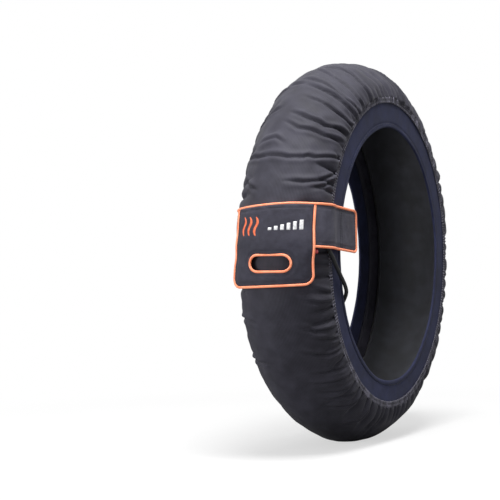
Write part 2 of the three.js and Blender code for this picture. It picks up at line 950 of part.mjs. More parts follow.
addPiece("outer_cover", outerCover(), materials.nylon);
addPiece("insulation_layer", insulationLayer(), materials.felt);
addPiece("heating_element", heatingElement(), materials.element);
addPiece("inner_lining", facingOut(innerLining()), materials.lining);
addPiece(
  "thermostat",
  atThermostat(new THREE.BoxGeometry(thermostatLength, thermostatWidth, thermostatHeight)),
  materials.rubber,
);

for (const [name, side] of [
  ["near", -1],
  ["far", 1],
]) {
  addPiece(name + "_side_panel", sidePanel(side), materials.neoprene);
  addPiece(name + "_gathered_hem", gatheredHem(side), materials.nylon);
}

addPiece("closure_strap", closureStrap(), materials.strapCloth);
addPiece("closure_strap_piping", piping(strapPipingRoute(), strapLift, false), materials.piping);
addPiece("pull_flap", pullFlap(), materials.strapCloth);
addPiece("pull_flap_piping", piping(flapPipingRoute(), flapLift, false), materials.piping);
addPiece(
  "finger_slot_piping",
  piping(slotRoute(slotHeight / 2, 6), flapLift, true),
  materials.piping,
);
addPiece("panel_loop_pad", closurePad(0, loopThickness), materials.lining);
addPiece(
  "strap_hook_pad",
  closurePad(loopThickness + seatGap, strapPanelLift - seatGap),
  materials.lining,
);

addPiece(
  "lamp_bezel",
  laidBlock(lampArc, lampHeight, lampWidth, lampTall, bezelBase, bezelBase + bezelThickness),
  materials.rubber,
);
const lensBase = bezelBase + bezelThickness + seatGap;
addPiece(
  "indicator_lens",
  laidBlock(
    lampArc,
    lampHeight,
    lampWidth - 2 * lensMargin,
    lampTall - 2 * lensMargin,
    lensBase,
    lensBase + lensThickness,
  ),
  materials.lens,
);

addPiece(
  "cord_strain_relief",
  taperedBar(bootStart, bootTip, bootBaseRadius, bootTipRadius, 12),
  materials.rubber,
);
addPiece("power_cord", cordTube(cordRoute, 44), materials.rubber);
addPiece("cord_coil", cordCoil(), materials.rubber);
addPiece("cord_tie", tieFrame(0, tieThickness, tieWidth), materials.strapCloth);
addPiece("plug_lead", cordTube(leadRoute, 5), materials.rubber);
addPiece("plug_strain_relief", plugRelief(), materials.rubber);
addPiece("plug_body", plugBody(), materials.rubber);
addPiece("plug_pin_line", plugPin(-1), materials.metal);
addPiece("plug_pin_neutral", plugPin(1), materials.metal);

export default warmer;
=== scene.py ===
import bpy
import math
import numpy as np
from mathutils import Matrix, Vector
from mathutils.geometry import delaunay_2d_cdt


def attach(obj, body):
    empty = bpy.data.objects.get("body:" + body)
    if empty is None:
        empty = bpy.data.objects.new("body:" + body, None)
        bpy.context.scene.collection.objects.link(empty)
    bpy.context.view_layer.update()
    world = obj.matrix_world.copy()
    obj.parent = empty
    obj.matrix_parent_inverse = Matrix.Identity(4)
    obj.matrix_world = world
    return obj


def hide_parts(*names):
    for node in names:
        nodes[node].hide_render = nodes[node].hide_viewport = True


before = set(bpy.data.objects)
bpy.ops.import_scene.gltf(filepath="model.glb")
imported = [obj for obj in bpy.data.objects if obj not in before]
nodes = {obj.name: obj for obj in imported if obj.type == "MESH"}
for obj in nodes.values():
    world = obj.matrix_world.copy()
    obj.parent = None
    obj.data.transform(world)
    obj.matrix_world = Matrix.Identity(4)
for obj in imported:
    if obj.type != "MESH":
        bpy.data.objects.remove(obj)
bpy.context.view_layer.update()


# Camera: stands 2.6 m away at the height of the wheel centre, in front of the tread and
# a quarter of the way round to the near side, so that the tread and the opening show.
def placed(name, data):
    """An object of this data, put into the scene."""
    made = bpy.data.objects.new(name, data)
    bpy.context.scene.collection.objects.link(made)
    return made


camera = bpy.data.cameras.new("camera")
camera.lens = 113.64
camera.sensor_width = 36
camera_object = placed("camera", camera)
camera_right = Vector((0.4545, -0.8906, -0.0160)).normalized()
camera_back = Vector((-0.8907, -0.4546, 0.0026))
camera_back = (camera_back - camera_right * camera_back.dot(camera_right)).normalized()
camera_up = camera_back.cross(camera_right)
camera_place = Matrix((camera_right, camera_up, camera_back)).transposed().to_4x4()
camera_place.translation = (-2.40448, -1.04051, 0.01372)
camera_object.matrix_world = camera_place
bpy.context.scene.camera = camera_object


# Supply cord: 6.2 mm rubber-jacketed flex from the strain relief by the lamp, over the
# near panel's edge and down the inside of the ring, out over the far panel's edge, then
# six turns wound and tied on the floor with its end at the plug.
FLOOR = -0.309
CORD_RADIUS = 0.0031
CORD_EXIT = (-0.2585, -0.077, 0.0052)
CORD_ROUTE = [
    CORD_EXIT, (-0.2504, -0.0793, -0.0052), (-0.2401, -0.0793, -0.0161),
    (-0.222, -0.0794, -0.0335), (-0.2065, -0.0793, -0.048), (-0.196, -0.077, -0.0585),
    (-0.187, -0.0695, -0.070), (-0.1795, -0.0575, -0.084), (-0.171, -0.042, -0.103),
    (-0.160, -0.025, -0.127), (-0.143, -0.006, -0.155), (-0.119, 0.013, -0.184),
    (-0.089, 0.029, -0.206), (-0.056, 0.041, -0.218), (-0.023, 0.050, -0.217),
    (0.008, 0.0595, -0.2065), (0.036, 0.072, -0.199), (0.061, 0.085, -0.202),
    (0.081, 0.096, -0.218), (0.095, 0.104, -0.242), (0.106, 0.110, -0.268),
    (0.118, 0.115, -0.290), (0.134, 0.119, -0.303), (0.1515, 0.1203, -0.3057),
]
COIL_CENTRE = (0.175, 0.080)
COIL_OUTER_TURN = 0.0403
COIL_LOW, COIL_HIGH = -0.3057, -0.2995
PLUG_Y, PLUG_Z = 0.1203, -0.2904
LEAD_ROUTE = [(0.184, 0.1203, -0.2993), (0.195, 0.1203, -0.2962), (0.204, 0.1203, -0.2921)]
LEAD_END = (0.214, PLUG_Y, PLUG_Z)


def smooth(start, end, value):
    """Eases from 0 at start to 1 at end."""
    share = np.clip((np.asarray(value, float) - start) / (end - start), 0, 1)
    return share * share * (3 - 2 * share)


def mix(first, second, share):
    return first + (second - first) * share


def even_points(line, spacing, closed=False):
    """Points a set distance apart on a smooth centripetal curve through the line's."""
    line = np.asarray(line, float)
    if closed:
        line = np.vstack([line[-1:], line, line[:2]])
    else:
        line = np.vstack([2 * line[:1] - line[1:2], line, 2 * line[-1:] - line[-2:-1]])
    fine = []
    for before, start, end, after in zip(line, line[1:], line[2:], line[3:]):
        a = math.sqrt(np.linalg.norm(start - before))
        b = math.sqrt(np.linalg.norm(end - start))
        c = math.sqrt(np.linalg.norm(after - end))
        leave = (end - start) + b * ((start - before) / a - (end - before) / (a + b))
        arrive = (end - start) + b * ((after - end) / c - (after - start) / (b + c))
        t = np.linspace(0, 1, 12, endpoint=False)[:, None]
        fine.append(
            (2 * t**3 - 3 * t**2 + 1) * start + (t**3 - 2 * t**2 + t) * leave
            + (3 * t**2 - 2 * t**3) * end + (t**3 - t**2) * arrive
        )
    fine = np.vstack(fine + [line[-2:-1]])
    reach = np.concatenate([[0], np.cumsum(np.linalg.norm(np.diff(fine, axis=0), axis=1))])
    at = np.linspace(0, reach[-1], max(round(reach[-1] / spacing), 3) + 1)
    points = np.stack([np.interp(at, reach, fine[:, k]) for k in range(3)], axis=1)
    return points[:-1] if closed else points


def pairs(rows, columns):
    """A grid of (row, column) values."""
    return np.stack(np.meshgrid(rows, columns, indexing="ij"), axis=-1)


class Finish:
    """A socket of a material's nodes. Arithmetic on it adds the Math nodes."""

    def __init__(self, tree, socket=None):
        self.tree = tree
        self.socket = socket

    def node(self, kind, settings, sockets, output=0):
        made = self.tree.nodes.new(kind)
        for name, value in settings.items():
            setattr(made, name, value)
        for name, value in sockets.items():
            if isinstance(value, Finish):
                self.tree.links.new(value.socket, made.inputs[name])
            else:
                made.inputs[name].default_value = value
        return Finish(self.tree, made.outputs[output])

    def math(self, operation, *values):
        return self.node("ShaderNodeMath", {"operation": operation}, dict(enumerate(values)))

    def __add__(self, other):
        return self.math("ADD", self, other)

    def __sub__(self, other):
        return self.math("SUBTRACT", self, other)

    def __rsub__(self, other):
        return self.math("SUBTRACT", other, self)

    def __mul__(self, other):
        return self.math("MULTIPLY", self, other)

    __radd__ = __add__
    __rmul__ = __mul__

    def ribs(self, pitch):
        """1 on each rib and 0 between, for ribs a pitch apart along this value."""
        return self.math("SINE", self * (2 * math.pi / pitch)) * 0.5 + 0.5

    def between(self, low, high):
        """0 below low and 1 above high."""
        return self.node(
            "ShaderNodeMapRange", {"interpolation_type": "SMOOTHSTEP"},
            {"Value": self, "From Min": low, "From Max": high},
        )

    def axis(self, name):
        return self.node("ShaderNodeSeparateXYZ", {}, {"Vector": self}, name)

    def cloud(self, size, detail=2.0):
        """Soft uneven patches of about that size in metres, from 0 to 1."""
        sockets = {"Vector": self, "Scale": 1 / size, "Detail": detail}
        return self.node("ShaderNodeTexNoise", {}, sockets, "Fac")

    def tinted(self, dark, light):
        """The colour between dark at 0 and light at 1."""
        settings = {"data_type": "RGBA"}
        sockets = {0: self, 6: linear(dark), 7: linear(light)}
        return self.node("ShaderNodeMix", settings, sockets, 2)

    def relief(self, depth, strength=1.0):
        """A Bump node whose full height is depth in metres."""
        sockets = {"Strength": strength, "Distance": depth, "Height": self}
        return self.node("ShaderNodeBump", {}, sockets)


def linear(code):
    """An sRGB colour code such as 3a3b44 as the linear colour that a socket takes."""
    parts = [int(code[k : k + 2], 16) / 255 for k in (0, 2, 4)]
    return [p / 12.92 if p < 0.04045 else ((p + 0.055) / 1.055) ** 2.4 for p in parts] + [1]


def finish(name, fixed, look, chart=False):
    """A material from fixed socket values and a function that gives the varying ones."""
    material = bpy.data.materials.new(name)
    material.use_nodes = True
    tree = material.node_tree
    shader = tree.nodes["Principled BSDF"]
    for socket, value in fixed.items():
        shader.inputs[socket].default_value = value
    output = "UV" if chart else "Object"
    place = Finish(tree).node("ShaderNodeTexCoord", {}, {}, output)
    for socket, value in look(place).items():
        tree.links.new(value.socket, shader.inputs[socket])
    return material


def piece(name, points, faces, material, chart=None):
    """A smooth-shaded mesh with its faces outward; chart gives each corner's UV."""
    points = np.asarray(points, float)
    faces = [list(face) for face in faces]
    middle = points.mean(axis=0)
    fan = np.array([
        (f[0], f[k], f[k + 1]) for f in faces for k in range(1, len(f) - 1)
    ])
    a, b, c = (points[fan[:, k]] - middle for k in range(3))
    if np.einsum("ij,ij->", a, np.cross(b, c)) < 0:
        faces = [face[::-1] for face in faces]
        chart = None if chart is None else [corner[::-1] for corner in chart]
    mesh = bpy.data.meshes.new(name)
    mesh.from_pydata(points.tolist(), [], faces)
    if chart is not None:
        layer = mesh.uv_layers.new(name="chart")
        flat = np.concatenate([np.asarray(corner, float) for corner in chart]).ravel()
        layer.data.foreach_set("uv", flat)
    mesh.shade_smooth()
    mesh.materials.append(material)
    made = placed(name, mesh)
    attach(made, "root")
    return made


def shell(name, grid, material, chart, closed=(True, True)):
    """A piece from a grid of points, joined up round either way, its open ends capped."""
    rows, columns = grid.shape[:2]
    i, j = np.meshgrid(
        np.arange(rows if closed[0] else rows - 1),
        np.arange(columns if closed[1] else columns - 1), indexing="ij",
    )
    corners = [(i, j), (i + 1, j), (i + 1, j + 1), (i, j + 1)]
    faces = np.stack([(p % rows) * columns + q % columns for p, q in corners], axis=-1)
    places = np.stack([chart[p, q] for p, q in corners], axis=-2)
    faces = faces.reshape(-1, 4).tolist()
    places = list(places.reshape(-1, 4, 2))
    if not closed[0]:
        faces.append(list(range(columns))[::-1])
        places.append(chart[0, :columns][::-1])
        faces.append([(rows - 1) * columns + k for k in range(columns)])
        places.append(chart[rows - 1, :columns])
    return piece(name, grid.reshape(-1, 3), faces, material, places)


def tube(name, line, radius, material, sides=14, closed=False):
    """A round tube along a line."""
    line = np.asarray(line, float)
    count = len(line)
    ahead = np.roll(line, -1, axis=0) - np.roll(line, 1, axis=0)
    if not closed:
        ahead[0] = line[1] - line[0]
        ahead[-1] = line[-1] - line[-2]
    ahead /= np.linalg.norm(ahead, axis=1)[:, None]
    side = np.cross(ahead[0], [0.0, 0.0, 1.0])
    if np.linalg.norm(side) < 0.2:
        side = np.cross(ahead[0], [0.0, 1.0, 0.0])
    sides_on = []
    for forward in ahead:
        side = side - forward * side.dot(forward)
        side /= np.linalg.norm(side)
        sides_on.append(side.copy())
    sides_on = np.array(sides_on)
    if closed:
        start = sides_on[0] - ahead[-1] * sides_on[0].dot(ahead[-1])
        start /= np.linalg.norm(start)
        twist = math.atan2(np.cross(sides_on[-1], start).dot(ahead[-1]), sides_on[-1].dot(start))
        turn = (twist * np.arange(count) / (count - 1))[:, None]
        sides_on = sides_on * np.cos(turn) + np.cross(ahead, sides_on) * np.sin(turn)
    across = np.cross(ahead, sides_on)
    around = np.arange(sides) * 2 * math.pi / sides
    steps = np.linalg.norm(np.diff(line, axis=0), axis=1)
    along = np.concatenate([[0], np.cumsum(steps)])
    grid = (
        line[:, None]
        + sides_on[:, None] * (radius * np.cos(around))[:, None]
        + across[:, None] * (radius * np.sin(around))[:, None]
    )
    last = along[-1] + np.linalg.norm(line[0] - line[-1])
    chart = pairs(np.append(along, last), np.append(around, 2 * math.pi) * radius)
    return shell(name, grid, material, chart, (closed, True))


def wound_turns():
    """The six turns of the coil, three down and three on them, with a step between each."""
    turn = np.radians(np.arange(4, 360 * 6, 6.0))
    radius = np.full(len(turn), COIL_OUTER_TURN)
    height = np.full(len(turn), COIL_LOW)
    for step in (1, 2):
        start = step * 2 * math.pi
        radius -= 2 * CORD_RADIUS * smooth(start + 0.6, start + 1.4, turn)
    start = 3 * 2 * math.pi
    height += (COIL_HIGH - COIL_LOW) * smooth(start, start + 0.8, turn)
    for step in (4, 5):
        start = step * 2 * math.pi
        radius += 2 * CORD_RADIUS * smooth(start + 0.6, start + 1.4, turn)
    return np.stack([
        COIL_CENTRE[0] + radius * np.sin(turn), COIL_CENTRE[1] + radius * np.cos(turn), height,
    ], axis=1)


def rubber_jacket(place):
    grain = place.cloud(0.0006, 3)
    dust = place.cloud(0.03, 4)
    return {
        "Base Color": dust.between(0.35, 0.8).tinted("1b1b1e", "2a2a2d"),
        "Roughness": 0.42 + dust * 0.2 + grain * 0.08,
        "Normal": grain.relief(0.00006, 0.6),
    }


jacket = finish("cord_rubber", {"Specular IOR Level": 0.45}, rubber_jacket)
cord_line = np.vstack([even_points(CORD_ROUTE, 0.002), wound_turns()])
cord_line = np.vstack([cord_line, even_points(
    [cord_line[-1], (0.175, PLUG_Y, COIL_HIGH), *LEAD_ROUTE, LEAD_END], 0.002)[1:]])
cord_line = even_points(cord_line[::2], 0.0024)
cord_line[0] = CORD_EXIT
supply_cord = tube("supply_cord", cord_line, CORD_RADIUS, jacket)
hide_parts("power_cord", "cord_coil", "plug_lead")


# Plug and its strain reliefs: moulded matte rubber. The relief at the warmer is a short
# ribbed taper sewn in over the hem, the one at the plug is slotted so that it can bend,
# and the plug's grip has finger flutes. Two plated pins stand out of its face.
BOOT_BASE, BOOT_TIP = (-0.2705, -0.0728, 0.027), (-0.2589, -0.0768, 0.0059)
PLUG_FACE = 0.276
PLUG_BODY = 0.040
PLUG_RADIUS = 0.0185
PLUG_NECK = 0.008
RELIEF = 0.024


def moulded_rubber(place):
    grain = place.cloud(0.0005, 2)
    wear = place.cloud(0.012, 5)
    return {
        "Base Color": wear.between(0.4, 0.85).tinted("17181b", "25262a"),
        "Roughness": 0.55 + wear * 0.2,
        "Normal": grain.relief(0.00008, 0.7),
    }


def rounded_line(points):
    """A profile with softened corners: each corner is cut and the cuts are smoothed."""
    points = np.asarray(points, float)
    for _ in range(2):
        a, b = points[:-1], points[1:]
        points = np.vstack([
            points[:1], np.stack([mix(a, b, 0.22), mix(a, b, 0.78)], axis=1).reshape(-1, 2),
            points[-1:],
        ])
    return points


def turned(name, start, axis, profile, material, sides=48, flutes=None):
    """A round piece from (distance along, radius) points, turned about an axis."""
    profile = rounded_line(profile)
    start, axis = np.array(start, float), np.array(axis, float)
    axis /= np.linalg.norm(axis)
    side = np.cross(axis, [0.0, 0.0, 1.0])
    side /= np.linalg.norm(side)
    across = np.cross(axis, side)
    around = np.arange(sides) * 2 * math.pi / sides
    size = profile[:, 1:] * np.ones(sides)
    if flutes:
        size = size * (1 + flutes(profile[:, :1], around[None]))
    grid = (
        start + profile[:, :1, None] * axis
        + (size * np.cos(around))[..., None] * side + (size * np.sin(around))[..., None] * across
    )
    chart = pairs(np.linspace(0, 0.05, len(profile) + 1), np.linspace(0, 0.1, sides + 1))
    return shell(name, grid, material, chart, (False, True))


rubber = finish("moulded_rubber", {"Specular IOR Level": 0.4}, moulded_rubber)
boot_length = math.dist(BOOT_BASE, BOOT_TIP)
boot_profile = [(0, 0.0034), (0, 0.0046), (0.002, 0.0047)]
for rib in range(5):
    at, wide = 0.0035 + 0.0036 * rib, 0.0046 - 0.00016 * rib
    boot_profile += [(at, wide), (at + 0.0004, wide - 0.0007), (at + 0.0013, wide - 0.0007),
                     (at + 0.0018, wide)]
boot_profile += [(boot_length - 0.001, 0.0037), (boot_length, 0.0034), (boot_length, 0.0031)]
boot_axis = np.subtract(BOOT_TIP, BOOT_BASE)
boot = turned("cord_boot", BOOT_BASE, boot_axis, boot_profile, rubber, 32)
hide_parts("cord_strain_relief")

relief_profile = [(0, 0.0033), (0, 0.0046), (0.0015, 0.005)]
for rib in range(4):
    at, wide = 0.003 + 0.0046 * rib, 0.0052 + 0.0006 * rib
    relief_profile += [(at, wide), (at + 0.0004, wide - 0.0011), (at + 0.002, wide - 0.0011),
                       (at + 0.0025, wide)]
relief_profile += [(RELIEF - 0.002, 0.0074), (RELIEF - 0.0003, 0.0077), (RELIEF - 0.0003, 0.003)]
plug_start = PLUG_FACE - PLUG_BODY
plug_relief = turned("plug_relief", (plug_start - RELIEF, PLUG_Y, PLUG_Z), (1, 0, 0),
                     relief_profile, rubber)
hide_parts("plug_strain_relief")


def finger_flutes(along, around):
    """Nine shallow hollows round the grip, run out before the face and the neck."""
    band = smooth(0.008, 0.013, along) * (1 - smooth(0.024, 0.029, along))
    return -0.045 * band * (0.5 + 0.5 * np.cos(9 * around)) ** 2


plug_profile = [
    (0, 0.002), (0, PLUG_NECK), (0.004, 0.0105), (0.010, 0.0140), (0.020, 0.0163),
    (0.026, 0.0172), (0.0275, PLUG_RADIUS), (0.0385, PLUG_RADIUS), (PLUG_BODY, 0.0178),
    (PLUG_BODY, 0.0125), (PLUG_BODY - 0.0006, 0.0120), (PLUG_BODY - 0.0006, 0.001),
]
plug = turned("plug", (plug_start, PLUG_Y, PLUG_Z), (1, 0, 0), plug_profile, rubber, 108,
              finger_flutes)
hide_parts("plug_body")


def plated_metal(place):
    lines = place.cloud(0.0009, 4)
    return {
        "Base Color": lines.tinted("b9babd", "d6d7da"),
        "Roughness": 0.2 + lines * 0.16,
        "Normal": lines.relief(0.00003, 0.4),
    }


def dress(solid, material):
    solid.data.materials.clear()
    solid.data.materials.append(material)


nickel = finish("nickel_plate", {"Metallic": 1.0}, plated_metal)
plug_pins = [nodes["plug_pin_line"], nodes["plug_pin_neutral"]]
for pin in plug_pins:
    dress(pin, nickel)


# Cord tie: a 12 mm hook-and-loop strap closed once round the wound turns. Its loops
# give it a dull, furry face.
TIE_WIDTH = 0.012


def squared(value, power):
    """A sine or cosine drawn out towards 1, which makes a circle of them squarer."""
    return np.sign(value) * np.abs(value) ** power


def furry_tape(place):
    fur = place.cloud(0.0005, 5)
    rows = place.axis("X").ribs(0.0012)
    return {
        "Base Color": (fur * 0.7 + rows * 0.3).tinted("0f0f11", "2b2b2f"),
        "Roughness": 0.85 + fur * 0.1,
        "Normal": (fur + rows * 0.3).relief(0.0003, 0.8),
    }


tape = finish("hook_and_loop_tape", {"Sheen Weight": 0.3}, furry_tape)
tie_middle = np.array([COIL_CENTRE[0], COIL_CENTRE[1] - 0.0341, (COIL_LOW + COIL_HIGH) / 2])
tie_half = np.array([3 * CORD_RADIUS + 0.0006, 2 * CORD_RADIUS + 0.0001])
around = np.linspace(0, 2 * math.pi, 72, endpoint=False)
wrap = squared(np.stack([np.cos(around), np.sin(around)], axis=1), 0.35)
tie_grid = []
for across, out in ((-1, 0.0), (-0.96, 0.0007), (0.96, 0.0007), (1, 0.0), (0.96, -0.0001),
                    (-0.96, -0.0001)):
    ring = np.zeros((72, 3))
    ring[:, 0] = across * TIE_WIDTH / 2
    ring[:, 1:] = wrap * (tie_half + out)
    tie_grid.append(tie_middle + ring)
tie_grid = np.stack(tie_grid, axis=1)
tie_grid[..., 2] = np.maximum(tie_grid[..., 2], FLOOR + 0.0001)
tie_chart = pairs(np.linspace(0, 0.055, 73), np.linspace(0, 0.025, 7))
tie = shell("cord_tie_strap", tie_grid, tape, tie_chart)
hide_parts("cord_tie")


# Outer cover: ribbed nylon sewn to fit a 120/70 R17 tyre. An elastic in each rim draws
# the cloth into gathers that run up the shoulders and die out on the crown, and where
# it hangs slack on the near upper side they join into long folds across the tread.
CROWN_RADIUS = 0.312
HALF_WIDTH = 0.073
RIM_RADIUS = 0.2493
FULLNESS = 1.88
CLOTH = 0.0012
CHART_RADIUS = 0.3
COVER_STEPS = 800
COVER_ROWS = 104
LINED_ROWS = 14
FRONT_FINER = 22
GATHER_SPACING = 4.2
GATHER_MM, FOLD_MM = 290, 300
CREASE_DEPTHS = (0.0030, 0.0072)
PUFF = 0.0034
DENT_SIZES = (0.016, 0.045)
DENT_DEPTH = 0.006
SLACK_LIFT = 0.0014
MOST_PROUD = 0.0075
LEAST_WALL = 0.0014
LONG_FOLDS = [
    ([71.2, 71.9, 70.0, 70.3], [-4, -41, -62, -85], 6.0, 1),
    ([70.0, 64.3, 63.3, 62.0, 63.6], [8, -26, -49, -70, -85], 3.0, 1),
    ([57.5, 55.7, 55.2, 54.7, 55.1], [-3, -27, -46, -63, -85], 5.0, 1),
    ([61.0, 59.4, 57.4, 56.6, 58.6], [8, -24, -44, -57, -87], 3.4, 1),
    ([51.4, 50.0, 49.5, 49.2, 50.8], [-8, -38, -57, -77, -88], 3.4, 1),
    ([44.0, 42.5, 42.0, 43.5, 45.1], [-2, -26, -49, -64, -87], 4.4, 1),
    ([40.6, 38.2, 38.6, 38.4, 40.7], [2, -19, -37, -53, -82], 3.4, 1),
    ([34.4, 34.6, 33.0], [34, 7, -6], 2.4, 1),
    ([29.2, 28.1, 28.9, 29.7, 29.9, 34.6], [26, -17, -34, -39, -48, -88], 2.9, 1),
    ([20.7, 21.2, 22.8, 28.6], [-14, -39, -59, -87], 2.5, 1),
    ([19.9, 22.0, 26.7], [-50, -69, -88], 3.0, 1),
    ([24.6, 19.8, 18.6], [62, 33, 22], 2.8, 1),
    ([32.0, 29.0, 28.4], [66, 27, 14], 2.8, 1),
    ([59.7, 58.3], [30, 1], 2.2, 1),
    ([-9.6, -11.8, -13.7], [-50, -69, -87], 3.0, 1),
    ([-16.6, -15.3, -13.0], [-87, -63, -38], 3.0, 1),
    ([-25.3, -23.9, -21.0], [-83, -52, -31], 3.6, 1),
    ([-29.8, -28.0, -25.7], [-84, -65, -45], 3.2, 1),
    ([-33.9, -33.0, -28.8], [-80, -59, -26], 3.6, 1),
    ([-36.3, -34.9], [-83, -64], 2.8, 1),
    ([-42.0, -39.6, -37.1], [-82, -60, -33], 3.0, 1),
    ([-45.9, -44.0, -40.1], [-81, -63, -24], 3.2, 1),
    ([-50.6, -48.3, -44.4], [-81, -60, -31], 3.0, 1),
    ([-55.1, -51.8, -47.0], [-81, -59, -31], 3.0, 1),
    ([-59.3, -56.5, -50.8], [-81, -57, -29], 3.2, 1),
    ([-68.0, -67.4, -63.3], [-79, -56, -32], 3.0, 1),
    ([104, 101, 98], [-86, -50, -20], 3.2, -1),
    ([128, 131, 133], [-86, -55, -30], 3.0, -1),
    ([152, 150, 149], [-86, -50, -26], 2.8, -1),
    ([62, 60, 58], [86, 55, 25], 3.4, 1),
    ([44, 46, 47], [86, 60, 18], 3.0, 1),
    ([-38, -35, -33], [86, 55, 26], 3.2, 1),
    ([-22, -20, -20], [86, 55, 30], 2.8, 1),
    ([150, 153, 155], [86, 50, 22], 3.2, -1),
    ([-140, -137, -135], [86, 55, 26], 3.0, -1),
    ([112, 110, 107], [86, 52, 18], 3.4, -1),
]


def section(angle, offset=0.0):
    """Radius and Y of the ring's section, from -90 degrees at the near rim over the
    crown to 90 at the far one, and the same for a unit step outward."""
    angle = np.radians(angle)
    side = np.where(angle < 0, -1.0, 1.0)
    across = np.abs(np.sin(angle)) ** (2 / FULLNESS)
    rise = np.maximum(np.cos(angle), 0) ** (2 / FULLNESS)
    out_radius = rise ** (FULLNESS - 1) / (CROWN_RADIUS - RIM_RADIUS)
    out_y = side * across ** (FULLNESS - 1) / HALF_WIDTH
    size = np.hypot(out_radius, out_y)
    out_radius, out_y = out_radius / size, out_y / size
    radius = RIM_RADIUS + (CROWN_RADIUS - RIM_RADIUS) * rise + out_radius * offset
    return radius, side * HALF_WIDTH * across + out_y * offset


def on_ring(turn, radius, y):
    """A point of the ring: turn 0 at the front, 90 degrees at the top."""
    turn = np.radians(turn)
    x, z = -radius * np.cos(turn), radius * np.sin(turn)
    return np.stack(np.broadcast_arrays(x, y, z), axis=-1)


fine_angles = np.linspace(0, 90, 1801)
fine_radius, fine_y = section(fine_angles)
arc_reach = np.concatenate([[0], np.cumsum(np.hypot(np.diff(fine_radius), np.diff(fine_y)))])
RIM_ARC = arc_reach[-1]


def angle_at(arc):
    return np.sign(arc) * np.interp(np.abs(arc), arc_reach, fine_angles)


def arc_at(angle):
    return np.sign(angle) * np.interp(np.abs(angle), fine_angles, arc_reach)


def turn_gap(turn, centre):
    """The signed difference of two turns in degrees, the short way round."""
    return (turn - centre + 180) % 360 - 180


def wall_at(angle):
    size = np.abs(angle)
    gathered = mix(0.0028, 0.0072, smooth(28, 66, size))
    return mix(gathered, 0.0033, smooth(76, 90, size))


def gathers(turn, angle, side, seed):
    """Creases drawn in from one rim: sharp and close at the hem, fewer and softer up."""
    chance = np.random.default_rng(seed)
    size = np.where(np.sign(angle) == side, np.abs(angle), 0)
    depth = np.zeros(np.broadcast(turn, angle).shape)
    at = -180.0
    while at < 180 - GATHER_SPACING * 0.5:
        reach = chance.uniform(40, 72) if chance.random() < 0.6 else chance.uniform(16, 40)
        lean = chance.uniform(-3.2, 3.2)
        strong = chance.uniform(*CREASE_DEPTHS)
        low = at + lean * (1 - size / 90) * 1.6
        gap = np.radians(turn_gap(turn, low)) * GATHER_MM
        wide = mix(8.0, 2.0, size / 90)
        crease = np.exp(-(np.sqrt(gap**2 + 1.2) - 1.1) / wide)
        near_rim = smooth(reach, min(reach + 26, 84), size) * (1 - 0.45 * smooth(80, 90, size))
        depth += strong * crease * near_rim
        at += GATHER_SPACING * chance.uniform(0.62, 1.4)
    return PUFF * smooth(44, 72, size) * (1 - 0.5 * smooth(84, 90, size)) - depth


def long_folds(turn, angle):
    """The slack folds: a raised roll of cloth with a shadowed valley beside it."""
    lift = np.zeros(np.broadcast(turn, angle).shape)
    for turns, angles, height, side in LONG_FOLDS:
        order = np.argsort(angles)
        centre = np.interp(angle, np.array(angles)[order], np.array(turns)[order])
        low, high = min(angles), max(angles)
        fade = smooth(low - 6, low + 12, angle) * (1 - smooth(high - 22, high + 8, angle))
        gap = np.radians(turn_gap(turn, centre)) * FOLD_MM * side
        roll = np.exp(-(((gap - 5) / 5.0) ** 2)) + 0.5 * np.exp(-(((gap + 6.5) / 4.5) ** 2))
        valley = np.exp(-(np.sqrt(gap**2 + 0.3) - 0.55) / 1.9)
        lift += 0.001 * height * fade * (roll - 1.1 * valley)
    return lift


def crown_ripple(turn, angle):
    """The long shallow waves that the cloth keeps between its seams."""
    loose = slack(turn, angle)
    turn, angle = np.radians(turn), np.radians(angle)
    wave = (
        np.sin(7 * turn + 0.6) + 0.6 * np.sin(12 * turn + angle)
        + 0.5 * np.sin(23 * turn + 1.3 - angle * 0.7)
        + 0.35 * np.sin(41 * turn + 0.4 + angle * 1.6)
    )
    return -0.0005 + 0.00045 * wave * (1 + 0.6 * loose)


def slack(turn, angle):
    """1 on the near upper stretch, where the cloth hangs loosest, and 0 elsewhere."""
    turn = turn_gap(turn, 0)
    span = smooth(6, 30, turn) * (1 - smooth(95, 130, turn))
    return span * (1 - smooth(10, 60, angle))


def crumple(turn, angle):
    """Small uneven dents between the folds."""
    along, across = np.radians(turn) * CHART_RADIUS, arc_at(angle)
    dents = np.zeros(np.broadcast(turn, angle).shape)
    chance = np.random.default_rng(77)
    for _ in range(9):
        heading, size = chance.uniform(0, math.pi), chance.uniform(*DENT_SIZES)
        start = chance.uniform(0, 6.28)
        way = along * math.cos(heading) + across * math.sin(heading)
        bend = 0.8 * np.sin(way * 30 + start * 2)
        dents += size * np.sin(2 * math.pi / size * way + start + bend)
    return DENT_DEPTH * dents


def strap_height(arc):
    return 0.0446 - 0.088 * (np.hypot(arc + 0.035, 0.025) - 0.025)


def under_pieces(turn, angle):
    """1 where the strap, flap, lamp and strain relief lie on the cover, which is flat there."""
    arc = arc_at(angle)
    height = CHART_RADIUS * np.sin(np.radians(turn))
    front = smooth(0.0, 0.1, np.cos(np.radians(turn)))
    above = smooth(-0.040, -0.034, height - strap_height(arc))
    below = 1 - smooth(0.034, 0.040, height - strap_height(arc))
    strap = above * below * (1 - smooth(0.098, 0.104, arc))
    flap = smooth(-0.054, -0.048, height) * (1 - smooth(0.046, 0.06, height))
    flap = flap * smooth(-0.072, -0.066, arc) * (1 - smooth(0.061, 0.067, arc))
    lamp = smooth(-0.012, -0.004, height) * (1 - smooth(0.03, 0.04, height))
    lamp = lamp * (1 - smooth(-0.068, -0.06, arc))
    return front * np.maximum(np.maximum(strap, 0.7 * flap), lamp)


